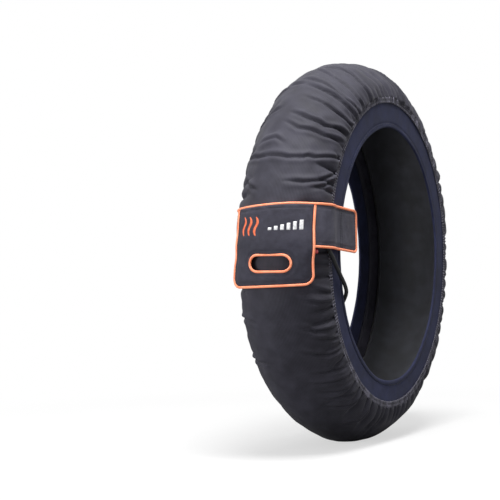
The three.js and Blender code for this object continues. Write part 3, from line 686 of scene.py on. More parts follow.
def cover_offset(turn, angle):
    """How far the cover's outer face stands off the plain section."""
    free = gathers(turn, angle, -1, 11) + gathers(turn, angle, 1, 23)
    loose = slack(turn, angle)
    free = free + long_folds(turn, angle) + crown_ripple(turn, angle)
    free = free + (0.35 + 0.65 * loose) * crumple(turn, angle) + SLACK_LIFT * loose
    held = np.minimum(free, 0.0003)
    offset = mix(free, held, under_pieces(turn, angle))
    offset = mix(offset, np.clip(offset, -0.0004, 0.0012), smooth(85, 89, np.abs(angle)))
    return np.clip(offset, LEAST_WALL - wall_at(angle), MOST_PROUD)


def pressed(points, height):
    """The foot of the ring, flattened where it stands, with a soft edge."""
    low = points[..., 2] - height
    soft = 0.0012
    points[..., 2] = height + np.where(
        low > soft, low, np.where(low < -soft, 0.0, (low + soft) ** 2 / (4 * soft)))
    return points


def ribbed_nylon(chart):
    around, across = chart.axis("X"), chart.axis("Y")
    ribs = across.ribs(0.0021)
    weave = ribs * 0.7 + around.ribs(0.0013) * 0.3
    worn = chart.cloud(0.022, 5)
    fade = chart.cloud(0.11, 2)
    tone = worn * 0.45 + fade * 0.4 + ribs * 0.15
    return {
        "Base Color": tone.between(0.28, 0.74).tinted("1f1e27", "3a3944"),
        "Roughness": 0.62 + worn * 0.16,
        "Normal": (weave + worn * 1.5).relief(0.00022, 0.6),
    }


def ring_chart(turns, lengths):
    """UV in metres: round the ring, and across it."""
    return pairs(np.radians(turns) * CHART_RADIUS, lengths)


nylon = finish("ribbed_nylon", {"Sheen Weight": 0.03, "Specular IOR Level": 0.3},
               ribbed_nylon, True)
turns = np.linspace(-180, 180, COVER_STEPS + 1)
turns = turns - FRONT_FINER * np.sin(np.radians(turns))
outer_angles = angle_at(np.linspace(-RIM_ARC, RIM_ARC, COVER_ROWS))
inner_angles = angle_at(np.linspace(RIM_ARC, -RIM_ARC, LINED_ROWS))
outside = cover_offset(turns[:-1, None], outer_angles[None])
radius, y = section(outer_angles[None], outside)
outer_grid = pressed(on_ring(turns[:-1, None], radius, y), FLOOR)
inside = cover_offset(turns[:-1, None], inner_angles[None]) - CLOTH
inside = np.minimum(inside, -0.0016 - 0.0008 * smooth(40, 66, np.abs(inner_angles)))
inside = np.maximum(inside, -wall_at(inner_angles)[None])
radius, y = section(inner_angles[None], inside)
inner_grid = pressed(on_ring(turns[:-1, None], radius, y), FLOOR + CLOTH)
across = np.concatenate([arc_at(outer_angles), RIM_ARC + (RIM_ARC - arc_at(inner_angles)),
                         [4 * RIM_ARC]])
cover = shell("gathered_cover", np.concatenate([outer_grid, inner_grid], axis=1), nylon,
              ring_chart(turns, across))
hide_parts("outer_cover")


# Side panels: 3 mm neoprene with a knitted face, a strip drawn round each side of the
# ring. The outer edge is sewn to the cover, the inner one is rolled over and stitched,
# and hangs a little low.
OPENING_RADIUS = 0.2064
PANEL_FACE = 0.0727
PANEL_THICKNESS = 0.003
PANEL_OUTER = 0.249
ROLLED_HEM = 0.008
HEM_RISE = 0.0009
PANEL_STEPS = 900
PANEL_SAG = 0.0036
PUCKERS = 300
PANEL_WAVE = 0.00034


def knitted_face(chart):
    around, across = chart.axis("X"), chart.axis("Y")
    knit = around.ribs(0.0012) * across.ribs(0.0016)
    soil = chart.cloud(0.03, 5)
    fade = chart.cloud(0.16, 2)
    return {
        "Base Color": (soil * 0.5 + fade * 0.5).between(0.3, 0.72).tinted("202338", "303452"),
        "Roughness": 0.72 + soil * 0.14,
        "Normal": (knit * 0.5 + soil * 2).relief(0.0002, 0.55),
    }


def panel_grid(side, seed):
    """The panel's section, carried round with the small waves that the sewing leaves."""
    chance = np.random.default_rng(seed)
    fold = OPENING_RADIUS + ROLLED_HEM
    top, low = PANEL_FACE + HEM_RISE, PANEL_FACE - PANEL_THICKNESS
    profile = [
        (OPENING_RADIUS, low + 0.0015), (OPENING_RADIUS, PANEL_FACE - 0.0004),
        (OPENING_RADIUS + 0.0004, top - 0.0005), (OPENING_RADIUS + 0.0013, top),
        (OPENING_RADIUS + 0.003, top + 0.0001), (fold - 0.003, top), (fold - 0.0016, top - 0.0002),
        (fold - 0.0008, top - 0.0007), (fold, PANEL_FACE - 0.0003), (fold + 0.0008, PANEL_FACE),
        (fold + 0.004, PANEL_FACE + 0.0001),
    ]
    profile += [(r, PANEL_FACE) for r in np.linspace(fold + 0.009, PANEL_OUTER - 0.004, 6)]
    profile += [(PANEL_OUTER, PANEL_FACE - 0.0002), (PANEL_OUTER, low)]
    profile += [(r, low) for r in np.linspace(PANEL_OUTER - 0.008, OPENING_RADIUS + 0.002, 5)]
    profile += [(OPENING_RADIUS + 0.0006, low + 0.0006)]
    profile = np.array(profile)
    turn = turns_of(PANEL_STEPS)[:-1, None]
    phase = chance.uniform(0, 6.28, 5)
    angle = np.radians(turn)
    wave = sum(
        size * np.sin(count * angle + start + lean * (profile[None, :, 0] - 0.22) * 60)
        for size, count, start, lean in zip(
            (0.35, 0.3, 0.22, 0.16, 0.12), (5, 11, 19, 34, 61), phase, (1, -2, 3, -2, 4))
    )
    edge_pull = np.exp(-(((profile[None, :, 0] - fold) / 0.0035) ** 2))
    pucker = edge_pull * np.sin(PUCKERS * angle + 2 * np.sin(13 * angle)) * 0.5
    outer_face = profile[None, :, 1] > PANEL_FACE - 0.001
    y = profile[None, :, 1] + PANEL_WAVE * np.where(outer_face, wave + pucker, 0)
    radius = profile[None, :, 0] + 0.0006 * np.exp(
        -((profile[None, :, 0] - OPENING_RADIUS) / 0.01)) * np.sin(9 * angle + phase[0])
    radius = np.maximum(radius, OPENING_RADIUS - 0.0006)
    points = on_ring(turn, radius, side * y)
    points[..., 2] -= PANEL_SAG * (1 - smooth(0.214, 0.243, profile[:, 0]))
    return points, profile


def turns_of(steps):
    return np.linspace(-180, 180, steps + 1)


neoprene = finish("knitted_neoprene", {"Sheen Weight": 0.02, "Specular IOR Level": 0.2},
                  knitted_face, True)
for side, label in ((-1, "near"), (1, "far")):
    grid, profile = panel_grid(side, 5 + side)
    lengths = np.concatenate([[0], np.cumsum(np.hypot(*np.diff(
        np.vstack([profile, profile[:1]]), axis=0).T))])
    panel = shell(label + "_panel", grid, neoprene, ring_chart(turns_of(PANEL_STEPS), lengths))
    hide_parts(label + "_side_panel")


# Gathered hems: the cover's edge, folded over an elastic and sewn down over the joint
# with the panel, so that it stands in a row of small scallops and pleats.
HEM_BASE = 0.0733
HEM_INNER, HEM_OUTER = 0.2432, 0.2525
HEM_TOP = 0.0025
HEM_STEPS = 1440
SCALLOPS = 290
hem_round = np.radians([200, 178, 160, 140, 118, 100, 90, 80, 60, 38, 18, 2, -20])


def hem_cloth(chart):
    worn = chart.cloud(0.01, 4)
    pleat_ribs_and_painted_shade = (chart.axis("X") + worn * 0.006).ribs(0.0054)
    return {
        # The pleat ribs also set the colour: darker between the pleats and lighter on them, which
        # is painted shade and painted highlight over the random wear tone.
        "Base Color": (worn * 0.35 + pleat_ribs_and_painted_shade * 0.65).tinted("25242c", "737180"),
        "Roughness": 0.66 + worn * 0.14,
        "Normal": (pleat_ribs_and_painted_shade + worn * 0.3).relief(0.0013, 1.0),
    }


def hem_grid(side, seed):
    chance = np.random.default_rng(seed)
    turn = turns_of(HEM_STEPS)[:-1, None]
    phase = np.zeros(HEM_STEPS)
    for count in (3, 7, 17, 31):
        phase += np.sin(count * np.radians(turn[:, 0]) + chance.uniform(0, 6.28)) * 3.2 / count**0.5
    scallop = 0.5 + 0.5 * np.cos(SCALLOPS * np.radians(turn) + phase[:, None])
    strength = 0.65 + 0.35 * np.sin(23 * np.radians(turn) + 2.5 * np.sin(5 * np.radians(turn)))
    ruffle = (scallop**0.7) * strength
    out, up = np.cos(hem_round)[None], np.maximum(np.sin(hem_round), 0)[None] ** 0.6
    centre, half = (HEM_INNER + HEM_OUTER) / 2, (HEM_OUTER - HEM_INNER) / 2
    stitch = np.exp(-((out * half / 0.0011) ** 2))
    radius = centre + half * squared(out, 0.7)
    radius = radius + 0.0020 * ruffle * (out > 0.5) + 0.0005 * (ruffle - 0.5) * (out < -0.5)
    height = HEM_TOP * up * (0.3 + 0.7 * ruffle) - 0.0007 * stitch * up
    base = np.where(np.sin(hem_round) < 0.0, 0.0, 0.0002)[None]
    y = HEM_BASE + base + height
    return on_ring(turn, radius, side * y)


hem_nylon = finish("gathered_hem_nylon", {"Sheen Weight": 0.04, "Specular IOR Level": 0.3},
                   hem_cloth, True)
hem_chart = ring_chart(turns_of(HEM_STEPS), np.linspace(0, 0.013, len(hem_round) + 1))
for side, label in ((-1, "near"), (1, "far")):
    hem = shell(label + "_hem", hem_grid(side, 40 + side), hem_nylon, hem_chart)
    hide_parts(label + "_gathered_hem")


# Layers inside: needled felt that keeps the heat in, with the flat heating ribbon and
# its thermostat under it, and a dark lining cloth that lies against the tyre.
FELT_TOP, LINING_CLOTH = 0.0004, 0.0012
LAYER_STEPS = 432


def felt_bottom(angle):
    return wall_at(angle) + FELT_TOP + mix(0.005, 0.003, smooth(30, 66, np.abs(angle)))


def lining_top(angle):
    return felt_bottom(angle) + 0.0009 + 0.0008 + 0.0004


def bound_top(angle):
    """The lining's upper face, turned up over the felt's edges to bind them."""
    return np.where(np.abs(angle) > 66.1, wall_at(angle) + FELT_TOP, lining_top(angle))


def layer_grid(top, bottom, foot, edge, angles):
    rows = len(angles)
    turn = turns_of(LAYER_STEPS)[:-1, None]
    out_radius, out_y = section(angles, -top(angles))
    in_radius, in_y = section(angles[::-1], -bottom(angles[::-1]))
    radius = np.concatenate([out_radius, in_radius])[None]
    y = np.concatenate([out_y, in_y])[None]
    wave = edge * np.sin(60 * np.radians(turn) + 3 * np.sin(7 * np.radians(turn)))
    inner = np.concatenate([np.zeros(rows), np.ones(rows)])[None]
    return pressed(on_ring(turn, radius - inner * (wave + edge), y), foot)


def needled_felt(place):
    hair, clump = place.cloud(0.0007, 6), place.cloud(0.006, 3)
    return {
        "Base Color": (hair * 0.5 + clump * 0.5).tinted("6c6a64", "a3a097"),
        "Roughness": 0.9 + clump * 0.08,
        "Normal": hair.relief(0.0004, 0.9),
    }


def lining_cloth(chart):
    weave = chart.axis("X").ribs(0.0022) * chart.axis("Y").ribs(0.0022)
    marks = chart.cloud(0.04, 5)
    return {
        "Base Color": marks.between(0.3, 0.75).tinted("1d1e22", "303138"),
        "Roughness": 0.75 + marks * 0.15,
        "Normal": (weave * 0.5 + marks * 2).relief(0.0003, 0.6),
    }


def woven_ribbon(place):
    strands = place.axis("Y").ribs(0.0011)
    heat = place.cloud(0.02, 3)
    return {
        "Base Color": (heat * 0.6 + strands * 0.4).tinted("7a5a26", "c79c50"),
        "Roughness": 0.35 + heat * 0.25,
        "Normal": strands.relief(0.00015, 0.8),
    }


felt = finish("needled_felt", {}, needled_felt)
layer_chart = ring_chart(turns_of(LAYER_STEPS), np.linspace(0, 0.36, 53))
insulation = shell("felt_layer", layer_grid(
    lambda a: wall_at(a) + FELT_TOP, felt_bottom, FLOOR + 0.0032, 0.0,
    np.linspace(-66, 66, 24)), felt, layer_chart)
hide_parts("insulation_layer")

lining_finish = finish("lining_cloth", {"Sheen Weight": 0.1}, lining_cloth, True)
lining_angles = np.concatenate([[-67.8, -66.4], np.linspace(-66, 66, 22), [66.4, 67.8]])
lining = shell("lining", layer_grid(
    bound_top, lambda a: lining_top(a) + LINING_CLOTH, FLOOR + 0.0034, 0.0004,
    lining_angles), lining_finish, layer_chart)
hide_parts("inner_lining")

dress(nodes["heating_element"], finish("woven_heating_ribbon", {"Metallic": 0.7}, woven_ribbon))
dress(nodes["thermostat"], rubber)


# Closure strap: woven polyester over a thin foam, sewn to the cover on the far side of
# the tread and pulled over the near panel's edge, where hook-and-loop tape holds it.
STRAP_HALF, STRAP_CLOTH = 0.0317, 0.0024
STRAP_FAR = 0.096
STRAP_NEAR = -(RIM_ARC + RIM_RADIUS - OPENING_RADIUS + 0.043)
STRAP_CORNER = 0.008
SEAT_GAP = 0.0003
EDGE_IN = 0.0008
CLOTH_SPACING = 0.0021
SEAM_IN, SEAM_SPREAD, SEAM_DEPTH = 0.0046, 0.0013, 0.0012
FOAM_WAVE = 0.00022


def on_front(arc, height, lift):
    """A point laid on the front: arc from the crown, height, and lift off the cover."""
    arc, height, lift = np.broadcast_arrays(arc, height, lift)
    past = np.maximum(np.abs(arc) - RIM_ARC, 0)
    radius, y = section(np.where(past > 0, 90 * np.sign(arc), angle_at(arc)), lift)
    radius = radius - past
    straight = smooth(0.075, 0.112, np.abs(arc))
    curved = np.sqrt(np.maximum(radius**2 - height**2, 0))
    flat = np.sqrt(np.maximum(radius**2 - strap_height(arc) ** 2, 0))
    return np.stack([-mix(curved, flat, straight), y, height], axis=-1)


def strap_lift(arc, _height=None):
    """The same at every height of the strap."""
    size = np.abs(arc)
    far = mix(0.0008, 0.0014, smooth(0.050, 0.080, size))
    near = mix(0.0008, 0.011, smooth(0.044, 0.076, size))
    near = mix(near, 0.0042, smooth(0.088, 0.122, size))
    return np.where(arc > 0, far, near)


def is_inside(points, outline):
    x, y = points[:, 0], points[:, 1]
    inside = np.zeros(len(points), bool)
    for (x1, y1), (x2, y2) in zip(outline, np.roll(outline, -1, axis=0)):
        crosses = (y1 > y) != (y2 > y)
        inside ^= crosses & (x < (x2 - x1) * (y - y1) / (y2 - y1 + 1e-15) + x1)
    return inside


def edge_distance(points, outline):
    nearest = np.full(len(points), 1.0)
    for start, end in zip(outline, np.roll(outline, -1, axis=0)):
        span = end - start
        share = np.clip((points - start) @ span / max(span @ span, 1e-12), 0, 1)
        away = np.linalg.norm(points - start - share[:, None] * span, axis=1)
        nearest = np.minimum(nearest, away)
    return nearest


def evened(outline, spacing):
    """The same closed outline with points a set distance apart, its corners kept."""
    outline = np.asarray(outline, float)
    points = []
    for start, end in zip(outline, np.roll(outline, -1, axis=0)):
        count = max(int(np.linalg.norm(end - start) / spacing), 1)
        points += [mix(start, end, k / count) for k in range(count)]
    return np.array(points)


def rounded_box(low, high, radius, count=7):
    """A rectangle with round corners as a list of points, anticlockwise."""
    points = []
    (left, bottom), (right, top) = np.add(low, radius), np.subtract(high, radius)
    for k, (x, y) in enumerate(((right, top), (left, top), (left, bottom), (right, bottom))):
        for angle in np.radians(np.linspace(90 * k, 90 * k + 90, count)):
            points.append((x + radius * math.cos(angle), y + radius * math.sin(angle)))
    return np.array(points)


def cut_cloth(outline, holes, spacing):
    """Even triangles that fill an outline, less its holes."""
    loops = [evened(loop, spacing) for loop in (outline, *holes)]
    low, high = loops[0].min(axis=0), loops[0].max(axis=0)
    across, up = np.meshgrid(*(np.arange(low[k], high[k], spacing) for k in (0, 1)), indexing="ij")
    across = across + 0.5 * spacing * (np.arange(across.shape[1]) % 2)
    fill = np.stack([across.ravel(), up.ravel()], axis=1)
    fill = fill[is_inside(fill, loops[0])]
    for loop in loops:
        fill = fill[edge_distance(fill, loop) > 0.6 * spacing]
    for hole in loops[1:]:
        fill = fill[~is_inside(fill, hole)]
    edges, start = [], 0
    for loop in loops:
        edges += [(start + k, start + (k + 1) % len(loop)) for k in range(len(loop))]
        start += len(loop)
    given = np.vstack([*loops, fill])
    found = delaunay_2d_cdt([Vector(p) for p in given], edges, [], 0, 1e-7)
    points = np.array([tuple(p) for p in found[0]])
    triangles = np.array(found[2])
    middle = points[triangles].mean(axis=1)
    keep = is_inside(middle, loops[0])
    for hole in loops[1:]:
        keep &= ~is_inside(middle, hole)
    return points, triangles[keep], loops


def laid_cloth(name, outline, lift_at, thickness, material, holes=(), spacing=CLOTH_SPACING,
               swell=None, edge=0.0013):
    """A closed sheet laid on the front, thinner at its edges. swell(points, distance)
    adds to its outer face."""
    flat, triangles, loops = cut_cloth(outline, holes, spacing)
    distance = np.min([edge_distance(flat, loop) for loop in loops], axis=0)
    arc, height = flat.T
    under = lift_at(arc, height)
    body = thickness * (0.35 + 0.65 * smooth(0, edge, distance))
    if swell:
        body = body + swell(flat, distance)
    inner, outer = on_front(arc, height, under), on_front(arc, height, under + body)
    uses = {}
    for a, b, c in triangles:
        uses.update({(a, b): True, (b, c): True, (c, a): True})
    rim = [(a, b) for a, b in uses if (b, a) not in uses]
    count = len(flat)
    faces = [tuple(t) for t in triangles]
    faces += [tuple(int(p) + count for p in t[::-1]) for t in triangles]
    faces += [(b, a, a + count, b + count) for a, b in rim]
    chart = [[flat[p % count] for p in face] for face in faces]
    return piece(name, np.vstack([outer, inner]), faces, material, chart)


def woven_strap(dark, light):
    def look(chart):
        warp, weft = chart.axis("X").ribs(0.0014), chart.axis("Y").ribs(0.0014)
        weave = warp * (1 - weft) + weft * (1 - warp)
        lint = chart.cloud(0.009, 6)
        fade = chart.cloud(0.06, 2)
        tone = lint * 0.45 + fade * 0.4 + weave * 0.15
        return {
            "Base Color": tone.between(0.3, 0.72).tinted(dark, light),
            "Roughness": 0.62 + lint * 0.18,
            "Normal": (weave + lint * 1.5).relief(0.0003, 0.6),
        }
    return look


def sewn_swell(points, distance):
    """Soft foam under the cloth: pulled down along the seam, with faint waves."""
    arc, height = np.asarray(points).T
    seam = np.exp(-(((distance - SEAM_IN) / SEAM_SPREAD) ** 2))
    wave = (
        np.sin(arc * 130 + 1.1 + 40 * height) + 0.7 * np.sin(height * 210 + arc * 60)
        + 0.5 * np.sin(arc * 310 - height * 160 + 0.5)
    )
    return FOAM_WAVE * wave * smooth(0.004, 0.012, distance) - SEAM_DEPTH * seam


strap_cloth = finish("woven_strap_cloth", {"Sheen Weight": 0.03, "Specular IOR Level": 0.3},
                     woven_strap("34333f", "504f5c"), True)
box = rounded_box((STRAP_NEAR + EDGE_IN, -STRAP_HALF + EDGE_IN),
                  (STRAP_FAR, STRAP_HALF - EDGE_IN), STRAP_CORNER - EDGE_IN)
strap_outline = evened(box, 0.004)
strap_outline[:, 1] += strap_height(strap_outline[:, 0])
strap = laid_cloth("strap", strap_outline, strap_lift, STRAP_CLOTH, strap_cloth,
                   swell=sewn_swell)
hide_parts("closure_strap")


# Pull flap: the same cloth, hung from the strap's upper seam over the strap and the
# cover below it, with a bound slot that takes the fingers when the warmer is fitted.
FLAP_NEAR, FLAP_FAR = -0.066, 0.059
FLAP_CORNER = 0.015
SLOT_CENTRE = (-0.0061, -0.0125)
SLOT_LENGTH, SLOT_HEIGHT = 0.0608, 0.0249
OVER_STRAP = 0.0047
HUNG_LIFT, NEAR_LIFT, CORNER_LIFT = 0.005, 0.003, 0.0068
PIPING_RADIUS, PIPING_REACH = 0.0019, 0.0023


def flap_bottom(arc):
    return -0.0467 - 0.038 * arc


def flap_lift(arc, height):
    """Flat on the strap, and below it hung clear of the cover, most at the far corner."""
    strap_edge = strap_height(arc) - STRAP_HALF
    over = mix(strap_lift(arc) + OVER_STRAP, strap_lift(arc) + STRAP_CLOTH + SEAT_GAP,
               smooth(0.006, 0.030, height - strap_edge))
    down = np.clip((0.014 - height) / 0.06, 0, 1)
    hung = HUNG_LIFT + NEAR_LIFT * smooth(-0.02, FLAP_NEAR, arc)
    hung = hung + CORNER_LIFT * smooth(-0.01, FLAP_FAR, arc) * down
    return mix(hung, over, smooth(-0.026, -0.003, height - strap_edge))


def flap_edge(inset):
    """The flap's outline a set distance inside its piping's centre, from the top down
    the near side, along the bottom and up again."""
    near, far = FLAP_NEAR + inset, FLAP_FAR - inset
    corner = FLAP_CORNER - inset
    points = []
    for centre, start in ((near + corner, 180), (far - corner, 270)):
        low = flap_bottom(centre) + inset + corner
        for angle in np.radians(np.linspace(start, start + 90, 9)):
            points.append((centre + corner * math.cos(angle), low + corner * math.sin(angle)))
        if start == 180:
            bottom = np.linspace(near + corner + 0.006, far - corner - 0.006, 20)
            points += [(arc, flap_bottom(arc) + inset) for arc in bottom]
    return near, far, points


def slot_edge(grow):
    reach = (SLOT_LENGTH - SLOT_HEIGHT) / 2
    radius = SLOT_HEIGHT / 2 + grow
    points = []
    for side, start in ((1, -90), (-1, 90)):
        for angle in np.radians(np.linspace(start, start + 180, 22)):
            points.append((SLOT_CENTRE[0] + side * reach + radius * math.cos(angle),
                           SLOT_CENTRE[1] + radius * math.sin(angle)))
    return np.array(points)


near, far, lower_edge = flap_edge(EDGE_IN)
top_arcs = np.linspace(far, near, 60)
flap_top = strap_height(top_arcs) + STRAP_HALF - 0.0012
flap_outline = np.vstack([lower_edge, np.stack([top_arcs, flap_top], axis=1)])
flap_cloth = finish("woven_flap_cloth", {"Sheen Weight": 0.03, "Specular IOR Level": 0.3},
                    woven_strap("22212c", "3b3a47"), True)
flap = laid_cloth("flap", flap_outline, flap_lift, STRAP_CLOTH, flap_cloth,
                  holes=[slot_edge(EDGE_IN)], swell=sewn_swell)
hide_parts("pull_flap")


# Piping: a thin cord folded into bright bias tape and sewn into the edges of the strap,
# the flap and its slot. The tape's twill shows as slanting ribs.
def piping_tape(chart):
    along, around = chart.axis("X"), chart.axis("Y")
    twill = (along + around * 0.8).ribs(0.0011)
    shade = chart.cloud(0.012, 4)
    return {
        "Base Color": (twill * 0.35 + shade * 0.65).between(0.2, 0.8).tinted("ff7443", "ffb592"),
        "Roughness": 0.42 + shade * 0.16,
        "Normal": (twill + shade).relief(0.00018, 0.6),
    }


def bound_edge(name, route, lift_at, closed, node):
    """Piping along a route of (arc, height) points."""
    route = np.asarray(route, float)
    arc, height = route.T
    line = on_front(arc, height, lift_at(arc, height) + PIPING_RADIUS)
    made = tube(name, even_points(line, 0.0016, closed), PIPING_RADIUS, piping, 12, closed)
    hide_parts(node)
    return made


# The faint orange emission on the piping is a painted glow: the tape gives no light of its own.
piping = finish("piping_tape", {"Emission Color": (1.0, 0.3, 0.12, 1.0), "Emission Strength": 0.14},
                piping_tape, True)
full = rounded_box((STRAP_NEAR, -STRAP_HALF), (STRAP_FAR + 0.02, STRAP_HALF), STRAP_CORNER)
route = evened(full, 0.006)
start = int(np.argmax(route[:, 0] + 0.001 * route[:, 1]))
route = np.roll(route, -start, axis=0)
route = route[(route[:, 0] < STRAP_FAR - 0.001)]
ends = np.array([[STRAP_FAR, STRAP_HALF], [STRAP_FAR, -STRAP_HALF]])
route = np.vstack([ends[:1], route, ends[1:]])
route[:, 1] += strap_height(route[:, 0])
strap_piping = bound_edge("strap_piping", route, strap_lift, False, "closure_strap_piping")
near, far, low = flap_edge(0.0)
side_top = [strap_height(arc) + STRAP_HALF - PIPING_REACH - SEAT_GAP for arc in (near, far)]
route = [(near, h) for h in np.linspace(side_top[0], low[0][1] + 0.004, 12)] + low
route += [(far, h) for h in np.linspace(low[-1][1] + 0.004, side_top[1], 12)]
flap_piping = bound_edge("flap_piping", route, flap_lift, False, "pull_flap_piping")
slot_piping = bound_edge("slot_piping", slot_edge(0.0), flap_lift, True, "finger_slot_piping")


# Stitching: bonded thread in single rows of about six stitches to the inch, along every
# bound edge, the rolled and gathered hems, and twice across the strap's end.
STITCH_PITCH, STITCH_LENGTH = 0.0038, 0.0029
RING_PITCH, RING_LENGTH = 0.0042, 0.0031
THREAD_THICK = 0.0008


def stitch_maker(thread):
    """The node tree that lays stitches of a set length and pitch along a line."""
    tree = bpy.data.node_groups.new("stitch_row", "GeometryNodeTree")
    face = tree.interface
    face.new_socket("Line", in_out="INPUT", socket_type="NodeSocketGeometry")
    pitch = face.new_socket("Pitch", in_out="INPUT", socket_type="NodeSocketFloat")
    size = face.new_socket("Stitch Size", in_out="INPUT", socket_type="NodeSocketVector")
    face.new_socket("Stitches", in_out="OUTPUT", socket_type="NodeSocketGeometry")
    add, link = tree.nodes.new, tree.links.new
    given, result = add("NodeGroupInput"), add("NodeGroupOutput")
    curve, evenly = add("GeometryNodeMeshToCurve"), add("GeometryNodeResampleCurve")
    evenly.mode = "LENGTH"
    link(given.outputs["Line"], curve.inputs["Mesh"])
    link(curve.outputs["Curve"], evenly.inputs["Curve"])
    link(given.outputs["Pitch"], evenly.inputs["Length"])
    stitch = add("GeometryNodeMeshUVSphere")
    stitch.inputs["Segments"].default_value = 7
    stitch.inputs["Rings"].default_value = 5
    stitch.inputs["Radius"].default_value = 1.0
    tangent, aim = add("GeometryNodeInputTangent"), add("FunctionNodeAlignRotationToVector")
    aim.axis = "Z"
    link(tangent.outputs["Tangent"], aim.inputs["Vector"])
    each = add("GeometryNodeInstanceOnPoints")
    link(evenly.outputs["Curve"], each.inputs["Points"])
    link(stitch.outputs["Mesh"], each.inputs["Instance"])
    link(aim.outputs["Rotation"], each.inputs["Rotation"])
    link(given.outputs["Stitch Size"], each.inputs["Scale"])
    solid, coat = add("GeometryNodeRealizeInstances"), add("GeometryNodeSetMaterial")
    coat.inputs["Material"].default_value = thread
    link(each.outputs["Instances"], solid.inputs["Geometry"])
    link(solid.outputs["Geometry"], coat.inputs["Geometry"])
    link(coat.outputs["Geometry"], result.inputs["Stitches"])
    return tree, pitch.identifier, size.identifier


def sew(name, rows, pitch, length):
    """Stitches along each row of points, as one piece."""
    points, edges, count = [], [], 0
    for row, closed in rows:
        points.append(row)
        size = len(row)
        edges += [(count + k, count + (k + 1) % size) for k in range(size if closed else size - 1)]
        count += size
    mesh = bpy.data.meshes.new(name)
    mesh.from_pydata(np.vstack(points).tolist(), edges, [])
    maker = placed(name + "_line", mesh)
    modifier = maker.modifiers.new("stitches", "NODES")
    modifier.node_group = stitch_tree
    modifier[stitch_pitch] = pitch
    modifier[stitch_size] = (THREAD_THICK / 2, THREAD_THICK / 2, length / 2)
    shown = maker.evaluated_get(bpy.context.evaluated_depsgraph_get())
    sewn = bpy.data.meshes.new_from_object(shown)
    maker.modifiers.remove(modifier)
    bpy.data.objects.remove(maker)
    sewn.shade_smooth()
    made = placed(name, sewn)
    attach(made, "root")
    return made


def sewing_thread(place):
    twist = (place.axis("X") + place.axis("Y") + place.axis("Z")).ribs(0.0006)
    return {
        "Base Color": twist.tinted("0e0f12", "26272d"),
        "Roughness": 0.4 + twist * 0.2,
        "Normal": twist.relief(0.0001, 0.7),
    }


def seam_row(route, lift_at, above):
    route = np.asarray(route, float)
    return on_front(route[:, 0], route[:, 1], lift_at(route[:, 0], route[:, 1]) + above)


thread = finish("sewing_thread", {"Specular IOR Level": 0.4}, sewing_thread)
stitch_tree, stitch_pitch, stitch_size = stitch_maker(thread)
seam_box = rounded_box((STRAP_NEAR + SEAM_IN, -STRAP_HALF + SEAM_IN),
                       (STRAP_FAR, STRAP_HALF - SEAM_IN), STRAP_CORNER - SEAM_IN)
seam = evened(seam_box, 0.003)
seam[:, 1] += strap_height(seam[:, 0])
strap_face = STRAP_CLOTH - SEAM_DEPTH + 0.0001
rows = [(seam_row(seam, strap_lift, strap_face), True)]
for arc in (-0.1305, -0.1365):
    heights = strap_height(arc) + np.linspace(-STRAP_HALF + SEAM_IN, STRAP_HALF - SEAM_IN, 24)
    line = np.stack([np.full(24, arc), heights], axis=1)
    rows.append((seam_row(line, strap_lift, STRAP_CLOTH + 0.0001), False))
near, far, low = flap_edge(SEAM_IN)
top_arcs = np.linspace(far, near, 50)
line = np.vstack([low, np.stack([top_arcs, strap_height(top_arcs) + STRAP_HALF - 0.0052], axis=1)])
rows.append((seam_row(evened(line, 0.003), flap_lift, strap_face), True))
rows.append((seam_row(evened(slot_edge(SEAM_IN), 0.003), flap_lift, strap_face), True))
sew("strap_stitches", rows, STITCH_PITCH, STITCH_LENGTH)
for side, label in ((-1, "near"), (1, "far")):
    turn = turns_of(720)[:-1]
    hem_row = on_ring(turn, (HEM_INNER + HEM_OUTER) / 2, side * (HEM_BASE + 0.0012))
    fold_row = on_ring(turn, OPENING_RADIUS + ROLLED_HEM - 0.0012, side * (PANEL_FACE + 0.0009))
    fold_row[:, 2] -= PANEL_SAG
    sew(label + "_ring_stitches", [(hem_row, True), (fold_row, True)], RING_PITCH, RING_LENGTH)


# Printed mark on the flap: three rising heat waves and a row of bars that grow with
# them, screen printed in orange and white.
WAVE_LOW, WAVE_HIGH = 0.0285, 0.0565
WAVE_BEND, WAVE_HALF = 0.0026, 0.0024
BARS_FROM, BAR_LOW, BAR_HIGH = -0.004, 0.0365, 0.0405
BAR_PITCH, BAR_WIDTH, BAR_RISE = 0.0088, 0.0052, 0.0021


def print_ink(dark, light):
    def look(chart):
        worn = chart.cloud(0.004, 5)
        weave = chart.axis("X").ribs(0.0014) * chart.axis("Y").ribs(0.0014)
        return {
            "Base Color": worn.between(0.3, 0.6).tinted(dark, light),
            "Roughness": 0.45 + worn * 0.2,
            "Normal": (weave + worn).relief(0.00015, 0.5),
        }
    return look


orange_ink = finish("orange_print", {}, print_ink("d9562c", "f0764a"), True)
white_ink = finish("white_print", {}, print_ink("c9c9cc", "ededee"), True)


def flap_face(arc, height):
    """Just under the lift of the flap's outer face, away from its edges."""
    swell = sewn_swell(np.stack([arc, height], axis=-1), np.full(np.shape(arc), 0.02))
    return flap_lift(arc, height) + STRAP_CLOTH + swell - 0.0001


def print_on_flap(name, outlines, material):
    for k, outline in enumerate(outlines):
        shape = laid_cloth(f"{name}_{k + 1}", outline, flap_face, 0.0003, material,
                           spacing=0.0012, edge=0.0003)


waves = []
for centre in (0.0385, 0.0270, 0.0155):
    rise = np.linspace(WAVE_LOW, WAVE_HIGH, 22)
    share = np.clip((rise - WAVE_LOW) / (WAVE_HIGH - WAVE_LOW), 0, 1)
    bend = centre + WAVE_BEND * np.sin(share * 2 * math.pi)
    wide = WAVE_HALF * (0.35 + 0.65 * np.maximum(np.sin(share * math.pi), 0) ** 0.6)
    waves.append(np.vstack([np.stack([bend + wide, rise], axis=1),
                            np.stack([bend - wide, rise], axis=1)[::-1]]))
bars = []
for k in range(6):
    left, top = BARS_FROM - BAR_PITCH * k, BAR_HIGH + BAR_RISE * k
    bars.append(rounded_box((left - BAR_WIDTH, BAR_LOW), (left, top), 0.0007, 4))
print_on_flap("heat_wave", waves, orange_ink)
print_on_flap("rising_bar", bars, white_ink)


